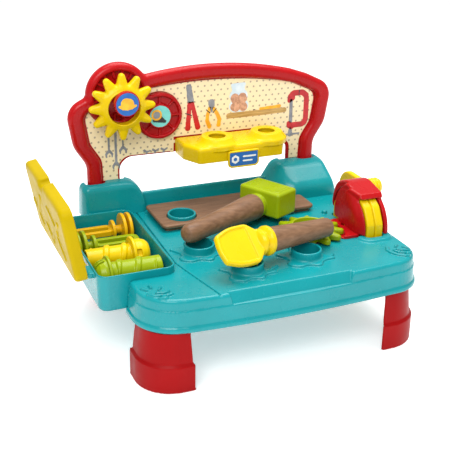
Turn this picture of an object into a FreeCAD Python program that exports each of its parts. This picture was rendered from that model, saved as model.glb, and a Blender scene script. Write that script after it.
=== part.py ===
"""Toy workbench: a moulded plastic bench with a tool bin, a back board, gears and a toy saw.

Bench frame while modelling: X runs to the right, Y runs from the front edge to the back,
Z is up and the feet stand on Z = 0. X = 0 is the middle of the bench and Y = 0 is the line
of the front legs. At the end every piece is moved so that the bottom centre of the whole
object's bounding box is the origin. Millimetres.
"""

import FreeCAD, Part

import math
import os

V = FreeCAD.Vector
X_AXIS = V(1, 0, 0)
Y_AXIS = V(0, 1, 0)
Z_AXIS = V(0, 0, 1)
ORIGIN = V(0, 0, 0)

# --- driving dimensions -------------------------------------------------------------------
HALF_WIDTH = 195.0        # table top, middle to right edge
HALF_WIDTH_LEFT = 189.0   # the left edge is set in a little, beside the bin
DEPTH_BACK = 318.0        # back edge of the table
TOP_Z = 122.0             # working surface
LEDGE_Z = 108.0           # step between the sloping front face and the skirt
LIP_Z = 79.0              # lower edge of the skirt
LIP_FLARE = 3.5           # the skirt's lower lip stands out by this much
FRONT_BOW = 6.5           # the skirt is this much further forward in the middle
TOP_BOW = 3.5             # the same for the upper step
CORNER_R = 44.0           # front right corner in plan
CORNER_R_LEFT = 52.0      # front left corner in plan
BACK_CORNER_R = 24.0      # back corners in plan
WALL = 2.5                # moulded wall
RIBS_X = (-55.0, 70.0)    # stiffening ribs under the table
FIT = 0.3                 # clearance between pieces that move

BIN_X = (-225.0, -124.0)
BIN_Y = (80.0, 282.0)
BIN_Z = (82.0, 132.0)
BIN_CORNER_R = 14.0
BIN_FLOOR_Z = 92.0        # the floor is set a little up inside the bin
LID_DEPTH = 16.0
LID_OPEN_DEG = 100.0      # how far the lid has turned back in the rest position
HINGE_X = -230.0
HINGE_Z = 127.0
HINGE_R = 2.0
HINGE_KNUCKLE_R = 3.6

LEG_OUTER_X = 193.0
LEG_INNER_X = 135.0
LEG_FRONT_Y = 4.2
LEG_SIDE = 66.0           # depth of a leg along the bench's side
LEG_R = 44.0
LEG_WALL = 3.0
LEG_TOP_Z = 104.0
FOOT_Z = 34.5
FOOT_FLARE = 3.5
LEG_DRAFT = 4.0           # the shin narrows by this much up to the skirt
PLUG_INSET = 9.0          # the plug inside the skirt is smaller than the shin by this much
LEG_LEFT_SHIFT = 3.5      # the left legs stand this much closer to the middle
LEG_BACK_SHIFT = 10.0     # and so do the back legs
SHOULDER = 3.5            # height of the slope between foot and shin

TOWER_TOP_Z = 167.0
RAIL_TOP_Z = 146.0
RAIL_Y = (299.0, 307.0)

PANEL_FRONT_Y = 309.0     # face that carries the printed board
PANEL_BACK_Y = 312.5
TUBE_Y = (300.0, 316.0)

LOBE = (-128.7, 291.0)    # x, z of the round gear seat at the top left of the board
LOBE_R = 46.0
POST = (-130.0, 291.0)
POST_R = 11.5
POST_CAP_R = 17.4
POST_CAP_Y = (257.0, 265.0)
DISC = (-70.0, 256.5)
DISC_R = 33.5

GEAR_TIP_R = 46.5
GEAR_ROOT_R = 35.0
GEAR_TEETH = 12
GEAR_BORE_R = 22.0
GEAR_THICK = 8.0
GEAR_HUB = 6.0            # the hub stands up from the web by this much
BACK_GEAR_FRONT_Y = 277.0
TABLE_GEAR = (84.4, 129.2)
TABLE_GEAR_Z = 124.4

SHELF_Z = (197.5, 221.0)
SHELF_BACK_Y = PANEL_FRONT_Y
SHELF_FRONT_Y = 246.0
SHELF_COLLARS_X = (5.0, 82.0)
SHELF_COLLAR_Y = 272.0
SHELF_COLLAR_R = 23.5
SHELF_HOLE_R = 14.0
SHELF_COLLAR_TOP_Z = 229.0

CUP_R = 20.0
CUP_BORE_R = 17.0
CUP_TOP_Z = 136.0
CUP_FLOOR_Z = 92.0
CUPS = ((46.2, 63.6), (-40.4, 53.6), (-77.4, 126.6), (6.6, 124.6))
PLANK_RING = (-63.4, 231.6)

PLANK_X = (-100.0, 130.0)
PLANK_Y = (202.0, 286.0)
PLANK_Z = (122.3, 132.0)
PLANK_NOTCH = (93.0, 248.5)   # the back right corner is cut out round the right tower

SAW_X = 163.0             # middle plane of the saw's wheel
SAW_AXLE = (136.0, 127.0)
SAW_WHEEL_R = 50.0
SAW_WHEEL_WIDTH = 25.0
SAW_AXLE_R = 4.0
AXLE_GAP = 0.1            # running clearance of the two round pins
GUARD_X = (139.0, 183.5)
HOUSING_X = (183.5, 192.5)

TOWER_SCREWS = ((120.0, 300.0), (172.0, 300.0))
SAW_SCREWS = ((140.0, 162.0), (140.0, 190.0), (138.0, 101.0))
BIN_SCREWS = ((90.0, 102.0), (272.0, 102.0))

HINGE_BIN_KNUCKLES = ((100.0, 124.0), (238.0, 262.0))
HINGE_LID_KNUCKLES = ((124.4, 146.0), (216.0, 237.6))

FRAME_OUTER = ((176.5, 142.0, 0), (176.5, 194.0, 30.0), (194.5, 222.0, 40.0), (202.0, 275.0, 13.0),
               (161.0, 298.0, 60.0), (135.0, 307.0, 0))
FRAME_APEX_Z = 324.3
FRAME_INNER = ((154.5, 142.0, 0), (157.0, 199.0, 25.0), (173.0, 224.0, 25.0), (180.0, 268.0, 16.0),
               (140.0, 286.0, 0), (118.0, 291.0, 0))
PANEL_APEX_Z = 303.5

SHELF_SCREWS = ((-20.0, 209.0), (86.0, 209.0))
FRAME_SCREWS = ((166.0, 150.0),)

BADGE_X = (10.7, 58.5)
BADGE_Z = (188.0, 213.0)

HAMMER_HEAD = (55.3, 204.0, 151.7)
HAMMER_YAW = 208.0         # the handle's direction in plan, degrees from +X
HAMMER_TILT = 1.4          # the handle rises a little towards its end
HANDLE_DROP = 4.0          # the handle's axis is this far below the middle of the head
HEAD_SIZE = (42.0, 68.0, 36.0)

DRIVER_NECK = (-16.4, 61.6, 156.0)
DRIVER_YAW = 14.8
DRIVER_DIP = 4.0           # the handle dips towards its butt
DRIVER_ROLL = 42.0         # the blade is rolled to face the front
DRIVER_BLADE = 64.0

ROW_X = (-220.0, -132.5)   # the toy screws lie along X between these two ends
ROW_GAP = 0.4              # clearance above the bin's floor
THIN_R = 22.0
BOLT_R = 23.0

GUARD_SIDE = ((100.0, 126.5, 0), (100.0, 148.0, 12.0), (113.5, 166.0, 4.0), (107.5, 171.5, 2.0),
              (111.5, 177.5, 3.0), (150.0, 184.5, 34.0), (180.0, 173.0, 26.0), (190.0, 147.0, 22.0),
              (188.0, 126.5, 0))
CHEEK_R = 48.5             # round cheeks of the guard on both sides of the wheel


# --- helpers ------------------------------------------------------------------------------
def box(x0, x1, y0, y1, z0, z1):
    """Box between two corners."""
    return Part.makeBox(x1 - x0, y1 - y0, z1 - z0, V(x0, y0, z0))


def cylinder(base, axis, radius, length):
    """Cylinder that starts at base and runs along axis."""
    return Part.makeCylinder(radius, length, V(*base), axis)


def ring(base, axis, outer, inner, length):
    """Tube that starts at base and runs along axis."""
    return cylinder(base, axis, outer, length).cut(cylinder(base, axis, inner, length))


def rounded_wire(points, to_3d):
    """Closed wire through 2D corners (a, b, radius), each corner rounded by an arc."""
    count = len(points)
    spans = []
    for i in range(count):
        ax, ay, radius = points[i]
        px, py, _ = points[i - 1]
        nx, ny, _ = points[(i + 1) % count]
        back = V(px - ax, py - ay, 0).normalize()
        ahead = V(nx - ax, ny - ay, 0).normalize()
        half = back.getAngle(ahead) / 2.0
        corner = V(ax, ay, 0)
        if radius <= 0 or abs(half - math.pi / 2) < 1e-6:
            spans.append((corner, None, corner))
            continue
        reach = radius / math.tan(half)
        middle = (back + ahead).normalize() * (radius / math.sin(half) - radius)
        spans.append((corner + back * reach, corner + middle, corner + ahead * reach))
    edges = []
    for i in range(count):
        start, middle, end = spans[i]
        following = spans[(i + 1) % count][0]
        if middle is not None:
            edges.append(Part.Arc(to_3d(start), to_3d(middle), to_3d(end)).toShape())
        if end.distanceToPoint(following) > 1e-6:
            edges.append(Part.LineSegment(to_3d(end), to_3d(following)).toShape())
    return Part.Wire(edges)


def plan_prism(points, z0, z1):
    """Prism over a rounded outline in plan, from z0 up to z1."""
    wire = rounded_wire(points, lambda p: V(p.x, p.y, z0))
    return Part.Face(wire).extrude(V(0, 0, z1 - z0))


def front_prism(points, y0, y1):
    """Prism over a rounded outline seen from the front (x, z), from y0 back to y1."""
    wire = rounded_wire(points, lambda p: V(p.x, y0, p.y))
    return Part.Face(wire).extrude(V(0, y1 - y0, 0))


def side_prism(points, x0, x1):
    """Prism over a rounded outline seen from the side (y, z), from x0 to x1."""
    wire = rounded_wire(points, lambda p: V(x0, p.x, p.y))
    return Part.Face(wire).extrude(V(x1 - x0, 0, 0))


def rectangle(a0, a1, b0, b1, radius):
    """Corners of a rectangle for the outline helpers."""
    return [(a0, b0, radius), (a1, b0, radius), (a1, b1, radius), (a0, b1, radius)]


def mirrored_x(shape):
    """Mirror image on the other side of the bench's middle plane."""
    return shape.mirror(ORIGIN, X_AXIS)


def softened(shape, radius, pick):
    """Fillet of the edges that pick accepts; a plain shape is kept if none is found."""
    edges = [edge for edge in shape.Edges if pick(edge)]
    return shape.makeFillet(radius, edges) if edges else shape


def at_height(z):
    """Edge picker: edges that lie in the plane at height z."""
    def pick(edge):
        bounds = edge.BoundBox
        return abs(bounds.ZMin - z) < 0.01 and abs(bounds.ZMax - z) < 0.01
    return pick


def revolve_x(profile, start):
    """Solid turned about an axis along X; profile lists (x offset, radius)."""
    points = [V(x, 0, r) for x, r in profile]
    points = [V(profile[0][0], 0, 0)] + points + [V(profile[-1][0], 0, 0)]
    face = Part.Face(Part.makePolygon(points + [points[0]]))
    turned = face.revolve(ORIGIN, X_AXIS, 360)
    turned.translate(V(*start))
    return turned


def screw(tip, direction, length, shank_r=1.4, head_r=3.0, head=2.0):
    """Pan-head screw: tip is the end of the shank, direction points from tip to head."""
    along = V(*direction).normalize()
    shank = Part.makeCylinder(shank_r, length, V(*tip), along)
    cap = Part.makeCylinder(head_r, head, V(*tip) + along * length, along)
    slot = Part.makeCylinder(1.1, head / 2, V(*tip) + along * (length + head / 2), along)
    return shank.fuse(cap).cut(slot)


# --- bench --------------------------------------------------------------------------------
def bench_outline(inset, front, bow):
    """Plan of the bench as a wire: bowed front, round corners and the notch for the bin."""
    right = HALF_WIDTH - inset
    left = HALF_WIDTH_LEFT - inset
    back = DEPTH_BACK - inset
    radius = CORNER_R - inset
    left_radius = CORNER_R_LEFT - inset
    back_radius = BACK_CORNER_R - inset
    side_front = front + bow
    notch_x = BIN_X[1] + 0.5 + inset
    notch_front = BIN_Y[0] - 0.5 - inset
    notch_back = BIN_Y[1] + 1.0 + inset

    def arc(a, b, c):
        return Part.Arc(V(*a, 0), V(*b, 0), V(*c, 0)).toShape()

    def line(a, b):
        return Part.LineSegment(V(*a, 0), V(*b, 0)).toShape()

    def diagonal(x_side, x_centre, y_centre, y_side):
        share = math.sqrt(0.5)
        return (x_centre + (x_side - x_centre) * share, y_centre + (y_side - y_centre) * share)

    left_front = (-(left - left_radius), side_front)
    right_front = (right - radius, side_front)
    right_low = (right, side_front + radius)
    right_high = (right, back - back_radius)
    back_right = (right - back_radius, back)
    back_left = (-(left - back_radius), back)
    left_high = (-left, back - back_radius)
    left_low = (-left, side_front + left_radius)
    notch = [(-left, notch_back), (notch_x, notch_back), (notch_x, notch_front), (-left, notch_front)]
    edges = [
        arc(left_front, (0, front), right_front),
        arc(right_front, diagonal(right, right - radius, side_front + radius, side_front), right_low),
        line(right_low, right_high),
        arc(right_high, diagonal(right, right - back_radius, back - back_radius, back), back_right),
        line(back_right, back_left),
        arc(back_left, diagonal(-left, -left + back_radius, back - back_radius, back), left_high),
        line(left_high, notch[0]),
        line(notch[0], notch[1]),
        line(notch[1], notch[2]),
        line(notch[2], notch[3]),
        line(notch[3], left_low),
        arc(left_low, diagonal(-left, -left + left_radius, side_front + left_radius, side_front), left_front),
    ]
    return Part.Wire(edges)


def bench_layer(inset, front, bow, z0, z1):
    """Straight-sided layer of the bench."""
    face = Part.Face(bench_outline(inset, front, bow))
    face.translate(V(0, 0, z0))
    return face.extrude(V(0, 0, z1 - z0))


def saw_slot_points(grow):
    """Plan of the slot in the table that the saw's wheel runs in."""
    half = SAW_WHEEL_WIDTH / 2 + 1.5 + grow
    y0 = SAW_AXLE[0] - SAW_WHEEL_R - 2.5 - grow
    y1 = SAW_AXLE[0] + SAW_WHEEL_R + 2.5 + grow
    return rectangle(SAW_X - half, SAW_X + half, y0, y1, 6.0 + grow)


def make_bench_top():
    """Open shell with the cups, the ring for the plank and the saw's slot moulded in."""
    body = bench_layer(-LIP_FLARE, -1.5, FRONT_BOW, LIP_Z, LIP_Z + 4.0)
    body = body.fuse(bench_layer(0.0, 0.5, FRONT_BOW, LIP_Z, LEDGE_Z))
    top_layer = bench_layer(0.5, 1.5, TOP_BOW, LEDGE_Z - 1.0, TOP_Z)
    body = body.fuse(softened(top_layer, 2.5, at_height(TOP_Z)))
    front_cut = box(-83, 82, -20, 10.5, LEDGE_Z, TOP_Z + 1)
    bin_room = box(-260, BIN_X[1] + 0.5, BIN_Y[0] - 0.5, BIN_Y[1] + 1.0, LIP_Z - 1, TOP_Z + 1)
    body = body.cut(front_cut).cut(bin_room)
    hollow = bench_layer(WALL + 0.5, 0.5 + WALL, FRONT_BOW, LIP_Z - 1, LEDGE_Z - WALL)
    hollow = hollow.fuse(bench_layer(WALL + 1.0, 13.5, 0.5, LEDGE_Z - WALL - 1, TOP_Z - WALL))
    body = body.cut(hollow)
    for x, y in CUPS + (PLANK_RING,):
        body = body.fuse(cylinder((x, y, CUP_FLOOR_Z - WALL), Z_AXIS, CUP_R, CUP_TOP_Z - CUP_FLOOR_Z + WALL))
    sleeve = plan_prism(saw_slot_points(WALL), LIP_Z + 4, TOP_Z)
    rim = plan_prism(saw_slot_points(9.0), TOP_Z - WALL, TOP_Z + 3.0)
    rim = softened(rim, 2.5, at_height(TOP_Z + 3.0)).common(box(100, 192, 0, 91, 100, 140))
    body = body.fuse(sleeve).fuse(rim)
    for x, y in CUPS + (PLANK_RING,):
        body = body.cut(cylinder((x, y, CUP_FLOOR_Z), Z_AXIS, CUP_BORE_R, CUP_TOP_Z - CUP_FLOOR_Z + 1))
    body = body.cut(plan_prism(saw_slot_points(0.0), LIP_Z - 1, TOP_Z + 10))
    for x in RIBS_X:
        rib = box(x - 1, x + 1, 14, 296, TOP_Z - 16, TOP_Z - WALL)
        for cx, cy in CUPS + (PLANK_RING,):
            rib = rib.cut(cylinder((cx, cy, 80), Z_AXIS, CUP_R - 1, 60))
        body = body.fuse(rib)
    groove = Part.makePolygon([V(-113, 284, 0), V(-118, 108, 0), V(-97, 8, 0), V(-95, 8, 0),
                               V(-116, 108, 0), V(-111, 284, 0), V(-113, 284, 0)])
    groove = Part.Face(groove).extrude(V(0, 0, 2))
    groove.translate(V(0, 0, TOP_Z - 1.0))
    body = body.cut(groove)
    hole = cylinder((0, 0, TOP_Z - 10), Z_AXIS, 1.4, 20)
    for x, y in TOWER_SCREWS:
        for side in (-1, 1):
            moved = hole.copy()
            moved.translate(V(side * x, y, 0))
            body = body.cut(moved)
    for x, y in SAW_SCREWS:
        moved = hole.copy()
        moved.translate(V(x, y, 0))
        body = body.cut(moved)
    for y, z in BIN_SCREWS:
        body = body.cut(cylinder((BIN_X[1] - 2, y, z), X_AXIS, 1.4, 12))
    return body.removeSplitter()


def make_tower(side):
    """Hollow upright that takes one foot of the back frame; open at the bottom."""
    def section(grow, z, x0, x1, y0, y1):
        points = rectangle(x0 - grow, x1 + grow, y0 - grow, y1 + grow, 12.0 + grow)
        return rounded_wire(points, lambda p: V(p.x, p.y, z))

    front = 286.0 if side < 0 else 252.0
    base_x0 = 96.0
    levels = (
        (TOP_Z + 0.0, base_x0, 188.0 if side < 0 else 193.0, front, 317.0),
        (TOP_Z + 14.0, base_x0 + 0.5, 187.5 if side < 0 else 191.5, front + 3.0, 317.0),
        (TOWER_TOP_Z - 14.0, 99.0, 187.0, 282.0 if side > 0 else 287.0, 317.0),
        (TOWER_TOP_Z, 111.0, 183.0, 290.0, 317.0),
    )
    outer = Part.makeLoft([section(0, *level) for level in levels], True, True)
    inner_levels = list(levels[:3]) + [(TOWER_TOP_Z - 2 * WALL,) + levels[3][1:]]
    inner = Part.makeLoft([section(-WALL, *level) for level in inner_levels], True, True)
    body = outer.cut(inner)
    socket = box(150, 182, 297, 317, 135, TOWER_TOP_Z)
    body = body.fuse(socket)
    body = body.cut(box(152.5, 178.5, TUBE_Y[0], 318.1, 140.0, TOWER_TOP_Z + 1))
    body = body.cut(box(124.0, 153.0, PANEL_FRONT_Y - 0.6, 318.1, 160.0, TOWER_TOP_Z + 1))
    for x, y in TOWER_SCREWS:
        boss = cylinder((x, y, TOP_Z), Z_AXIS, 4.0, 18.0)
        web = box(x - 1.0, x + 1.0, y, 316.0, TOP_Z, TOP_Z + 18.0)
        body = body.fuse(boss).fuse(web)
    for x, y in TOWER_SCREWS:
        body = body.cut(cylinder((x, y, TOP_Z - 1), Z_AXIS, 1.4, 13.0))
    body = body.removeSplitter()
    return mirrored_x(body) if side < 0 else body


def make_rear_rail():
    """Low wall along the back edge, between the towers."""
    wall = side_prism([(RAIL_Y[0], TOP_Z, 0), (RAIL_Y[1] + 6, TOP_Z, 0),
                       (RAIL_Y[1], RAIL_TOP_Z, 3.0), (RAIL_Y[0] + 2, RAIL_TOP_Z, 3.0)], -95.5, 95.5)
    hollow = box(-92, 92, RAIL_Y[0] + WALL + 0.5, RAIL_Y[1] - 0.5, TOP_Z - 1, RAIL_TOP_Z - 5)
    return wall.cut(hollow)


# --- legs ---------------------------------------------------------------------------------
def leg_outline(grow, filled=False):
    """Plan of a leg's corner shell at the front right, or of the web that closes its corner."""
    x1 = LEG_OUTER_X + grow
    y0 = LEG_FRONT_Y - grow
    x_in = LEG_INNER_X - grow / 2
    y_end = LEG_SIDE + grow / 2
    centre_x = LEG_OUTER_X - LEG_R
    centre_y = LEG_FRONT_Y + LEG_R
    share = math.sqrt(0.5)

    def line(a, b):
        return Part.LineSegment(V(*a, 0), V(*b, 0)).toShape()

    def corner_arc(radius):
        middle = V(centre_x + radius * share, centre_y - radius * share, 0)
        return Part.Arc(V(centre_x, centre_y - radius, 0), middle, V(centre_x + radius, centre_y, 0)).toShape()

    outer = LEG_R + grow
    inner = outer - LEG_WALL
    edges = [
        line((x_in, y0), (centre_x, y0)),
        corner_arc(outer),
        line((x1, centre_y), (x1, y_end)),
    ]
    if filled:
        return Part.Wire(edges + [line((x1, y_end), (x_in, y0))])
    edges += [
        line((x1, y_end), (x1 - LEG_WALL, y_end)),
        line((x1 - LEG_WALL, y_end), (x1 - LEG_WALL, centre_y)),
        corner_arc(inner),
        line((centre_x, y0 + LEG_WALL), (x_in, y0 + LEG_WALL)),
        line((x_in, y0 + LEG_WALL), (x_in, y0)),
    ]
    return Part.Wire(Part.__sortEdges__(edges))


def leg_slab(grow, z0, z1, filled=False):
    """Straight stretch of a leg's shell, or a web across it."""
    face = Part.Face(leg_outline(grow, filled))
    face.translate(V(0, 0, z0))
    return face.extrude(V(0, 0, z1 - z0))


def leg_loft(grow_low, z0, grow_high, z1):
    """Drafted stretch of a leg's shell."""
    low_wire = leg_outline(grow_low)
    low_wire.translate(V(0, 0, z0))
    high_wire = leg_outline(grow_high)
    high_wire.translate(V(0, 0, z1))
    return Part.makeLoft([low_wire, high_wire], True, True)


def make_leg(side, back):
    """Curved corner shell with a wider foot, webs across its corner and a plug for the skirt."""
    shoulder_z = FOOT_Z + SHOULDER
    leg = leg_slab(FOOT_FLARE, 0.0, FOOT_Z)
    leg = leg.fuse(leg_loft(FOOT_FLARE, FOOT_Z, 0.0, shoulder_z))
    leg = leg.fuse(leg_loft(0.0, shoulder_z, -LEG_DRAFT, LIP_Z))
    leg = leg.fuse(leg_slab(-PLUG_INSET, LIP_Z - WALL, LEG_TOP_Z))
    leg = leg.fuse(leg_slab(FOOT_FLARE, 0.0, WALL, True))
    leg = leg.fuse(leg_slab(0.0, shoulder_z - WALL, shoulder_z, True))
    leg = leg.fuse(leg_slab(-LEG_DRAFT, LIP_Z - WALL, LIP_Z, True))
    leg = leg.removeSplitter()
    if back:
        leg = leg.mirror(V(0, DEPTH_BACK / 2, 0), Y_AXIS)
        leg.translate(V(-LEG_BACK_SHIFT, 0, 0))
    if side < 0:
        leg.translate(V(-LEG_LEFT_SHIFT, 0, 0))
        leg = mirrored_x(leg)
        leg = leg.cut(box(-260, BIN_X[1] + 5, BIN_Y[0] - 5, BIN_Y[1] + 5, LIP_Z, LEG_TOP_Z + 1))
    return leg


# --- tool bin -----------------------------------------------------------------------------
def make_tool_bin():
    """Open box beside the bench, with a raised floor and the lower half of the lid's hinge."""
    outer = plan_prism(rectangle(*BIN_X, *BIN_Y, BIN_CORNER_R), *BIN_Z)
    grow = -WALL
    inner = rectangle(BIN_X[0] - grow, BIN_X[1] + grow, BIN_Y[0] - grow, BIN_Y[1] + grow, BIN_CORNER_R + grow)
    body = outer.cut(plan_prism(inner, BIN_FLOOR_Z, BIN_Z[1] + 1))
    body = body.cut(plan_prism(inner, BIN_Z[0] - 1, BIN_FLOOR_Z - WALL))
    for y0, y1 in HINGE_BIN_KNUCKLES:
        arm = box(HINGE_X, BIN_X[0] + 1.0, y0, y1, HINGE_Z - HINGE_KNUCKLE_R, HINGE_Z + HINGE_KNUCKLE_R)
        knuckle = cylinder((HINGE_X, y0, HINGE_Z), Y_AXIS, HINGE_KNUCKLE_R, y1 - y0)
        body = body.fuse(arm).fuse(knuckle)
    body = body.cut(cylinder((HINGE_X, BIN_Y[0] - 5, HINGE_Z), Y_AXIS, HINGE_R, 220))
    for y, z in BIN_SCREWS:
        pad = box(BIN_X[1] - 6, BIN_X[1] - 1, y - 5, y + 5, BIN_FLOOR_Z - 1, z + 5)
        body = body.fuse(pad)
        body = body.cut(cylinder((BIN_X[1] - 5, y, z), X_AXIS, 1.4, 12))
    return body.removeSplitter()


def make_bin_lid():
    """Inverted tray that closes over the bin, turned back to its open position."""
    x0 = BIN_X[0] - 2.5
    x1 = BIN_X[1] - 5.0
    y0 = BIN_Y[0] + 0.5
    y1 = BIN_Y[1] - 0.5
    z0 = BIN_Z[1] + 0.8
    z1 = z0 + LID_DEPTH
    corner = 13.0
    tray = plan_prism(rectangle(x0, x1, y0, y1, corner), z0, z1)
    tray = softened(tray, 5.0, at_height(z1))
    inner = rectangle(x0 + WALL, x1 - WALL, y0 + WALL, y1 - WALL, corner - WALL)
    tray = tray.cut(plan_prism(inner, z0 - 1, z1 - WALL))
    notch_y = (y0 + y1) / 2 + 6.0
    tray = tray.cut(cylinder((x1 + 2.0, notch_y, z0 - 1), Z_AXIS, 16.0, LID_DEPTH + 3))
    lining = ring((x1 + 2.0, notch_y, z0 + 8.0), Z_AXIS, 16.0 + WALL, 16.0, LID_DEPTH - 9.0)
    tray = tray.fuse(lining.common(box(x0, x1 - 0.5, y0, y1, z0, z1)))
    for k0, k1 in HINGE_LID_KNUCKLES:
        knuckle = cylinder((HINGE_X, k0, HINGE_Z), Y_AXIS, HINGE_KNUCKLE_R, k1 - k0)
        arm = box(HINGE_X - HINGE_KNUCKLE_R, BIN_X[0] - 0.5, k0, k1, HINGE_Z, z0 + 8.0)
        tray = tray.fuse(knuckle).fuse(arm)
    tray = tray.cut(cylinder((HINGE_X, y0 - 5, HINGE_Z), Y_AXIS, HINGE_R + AXLE_GAP, 220))
    for y in (notch_y - 56.0, notch_y + 50.0):
        for turn in (-35, 35):
            bar = plan_prism(rectangle(-30.0, 30.0, -5.0, 5.0, 4.9), 0, 2.0)
            bar.rotate(ORIGIN, Z_AXIS, turn)
            bar.translate(V((x0 + x1) / 2, y, z1 - 0.8))
            tray = tray.fuse(bar)
    tray = tray.removeSplitter()
    tray.rotate(V(HINGE_X, 0, HINGE_Z), Y_AXIS, -LID_OPEN_DEG)
    return tray


def make_hinge_rod():
    """Pin that runs through the knuckles of the bin and the lid."""
    start = HINGE_BIN_KNUCKLES[0][0] + 1
    return cylinder((HINGE_X, start, HINGE_Z), Y_AXIS, HINGE_R, HINGE_BIN_KNUCKLES[1][1] - 1 - start)


# --- back board ---------------------------------------------------------------------------
def arched_prism(right, apex_z, y0, y1):
    """Prism of a closed symmetric outline whose top is one arc through the apex."""
    def to_3d(p):
        return V(p.x, y0, p.y)

    count = len(right)
    edges = []
    spans = []
    for i in range(count):
        x, z, radius = right[i]
        corner = V(x, z, 0)
        if i in (0, count - 1) or radius <= 0:
            spans.append((corner, None, corner))
            continue
        back = (V(right[i - 1][0], right[i - 1][1], 0) - corner).normalize()
        ahead = (V(right[i + 1][0], right[i + 1][1], 0) - corner).normalize()
        half = back.getAngle(ahead) / 2
        reach = radius / math.tan(half)
        middle = (back + ahead).normalize() * (radius / math.sin(half) - radius)
        spans.append((corner + back * reach, corner + middle, corner + ahead * reach))

    def mirror(p):
        return V(-p.x, p.y, 0)

    for side in (1, -1):
        place = (lambda p: p) if side > 0 else mirror
        for i in range(count):
            start, middle, end = [place(p) if p is not None else None for p in spans[i]]
            if middle is not None:
                edges.append(Part.Arc(to_3d(start), to_3d(middle), to_3d(end)).toShape())
            if i + 1 < count:
                following = place(spans[i + 1][0])
                if end.distanceToPoint(following) > 1e-6:
                    edges.append(Part.LineSegment(to_3d(end), to_3d(following)).toShape())
    top = spans[-1][2]
    edges.append(Part.Arc(to_3d(top), to_3d(V(0, apex_z, 0)), to_3d(mirror(top))).toShape())
    foot = spans[0][0]
    edges.append(Part.LineSegment(to_3d(foot), to_3d(mirror(foot))).toShape())
    wire = Part.Wire(Part.__sortEdges__(edges))
    return Part.Face(wire).extrude(V(0, y1 - y0, 0))


def make_back_frame():
    """Arched frame with its panel, the recessed gear seat, the small disc and two feet."""
    outer = arched_prism(FRAME_OUTER, FRAME_APEX_Z, *TUBE_Y)
    inner = arched_prism(FRAME_INNER, PANEL_APEX_Z, TUBE_Y[0] - 1, PANEL_FRONT_Y)
    back = arched_prism(FRAME_INNER, PANEL_APEX_Z, PANEL_BACK_Y, TUBE_Y[1] + 1)
    body = softened(outer, 6.0, lambda e: e.BoundBox.YMax < TUBE_Y[0] + 0.01 and e.BoundBox.ZMin > 143)
    body = body.cut(inner).cut(back)
    window = front_prism([(-128.0, 130.0, 0), (134.5, 130.0, 0), (134.5, 196.0, 14.0),
                          (-128.0, 198.0, 20.0)], TUBE_Y[0] - 1, TUBE_Y[1] + 1)
    body = body.cut(window)
    body = body.cut(box(-153.5, -127.0, 290, 320, 130, 161.5)).cut(box(127.0, 153.5, 290, 320, 130, 161.5))
    lobe_x, lobe_z = LOBE
    lobe = cylinder((lobe_x, TUBE_Y[0], lobe_z), Y_AXIS, LOBE_R, TUBE_Y[1] - TUBE_Y[0])
    body = body.fuse(lobe)
    body = body.cut(cylinder((lobe_x, TUBE_Y[0] - 1, lobe_z), Y_AXIS, LOBE_R - 7.0, 8.0))
    disc_x, disc_z = DISC
    disc = cylinder((disc_x, 300.5, disc_z), Y_AXIS, DISC_R, PANEL_FRONT_Y - 300.0)
    disc = disc.cut(cylinder((disc_x, 299.5, disc_z), Y_AXIS, DISC_R - 4.5, 5.0))
    disc = disc.fuse(cylinder((disc_x, 301.0, disc_z), Y_AXIS, 17.5, 6.0))
    body = body.fuse(disc)
    for x, z, count, inner_r, outer_r, y in ((lobe_x, lobe_z, 10, 14.0, LOBE_R - 6.5, 302.5),
                                             (disc_x, disc_z, 8, 17.0, DISC_R - 4.0, 302.0)):
        for i in range(count):
            rib = box(inner_r, outer_r, y, y + 6, -1.2, 1.2)
            rib.rotate(ORIGIN, Y_AXIS, 360.0 * i / count)
            rib.translate(V(x, 0, z))
            body = body.fuse(rib)
    body = body.cut(cylinder((POST[0], 290, POST[1]), Y_AXIS, 1.6, 40))
    for x, z in SHELF_SCREWS:
        body = body.cut(cylinder((x, 300, z), Y_AXIS, 1.6, 20))
    for x, z in FRAME_SCREWS:
        body = body.cut(cylinder((x, 300, z), Y_AXIS, 1.6, 24))
        body = body.cut(cylinder((-x, 300, z), Y_AXIS, 1.6, 24))
    return body.removeSplitter()


def make_board_print():
    """Printed card stuck on the front of the panel, cut out round the two seats."""
    card = arched_prism([(x - 3.0 if i else x - 2.5, z, r) for i, (x, z, r) in enumerate(FRAME_INNER)],
                        PANEL_APEX_Z - 3.0, PANEL_FRONT_Y - 0.6, PANEL_FRONT_Y)
    window = front_prism([(-131.5, 130.0, 0), (138.0, 130.0, 0), (138.0, 199.5, 14.0),
                          (-131.5, 201.5, 20.0)], 290, 320)
    card = card.cut(window)
    card = card.cut(box(-160, 160, 290, 320, 120, 168.0))
    card = card.cut(cylinder((LOBE[0], 290, LOBE[1]), Y_AXIS, LOBE_R + 0.8, 40))
    card = card.cut(cylinder((DISC[0], 290, DISC[1]), Y_AXIS, DISC_R + 0.8, 40))
    card = card.cut(box(-47.5, 113.5, 290, 320, 190, SHELF_Z[1] + 0.7))
    return card


def make_gear_post():
    """Headed post that the yellow gear hangs on."""
    x, z = POST
    post = cylinder((x, POST_CAP_Y[1] - 1, z), Y_AXIS, POST_R, 306.0 - POST_CAP_Y[1] + 1)
    cap = cylinder((x, POST_CAP_Y[0], z), Y_AXIS, POST_CAP_R, POST_CAP_Y[1] - POST_CAP_Y[0])
    cap = softened(cap, 2.0, lambda e: e.BoundBox.YMax < POST_CAP_Y[0] + 0.01)
    return post.fuse(cap).cut(cylinder((x, 290, z), Y_AXIS, 1.4, 20)).removeSplitter()


def make_sticker(x, z, y, radius):
    """Round sticker on a face that looks to the front."""
    return cylinder((x, y - 0.3, z), Y_AXIS, radius, 0.3)


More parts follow.
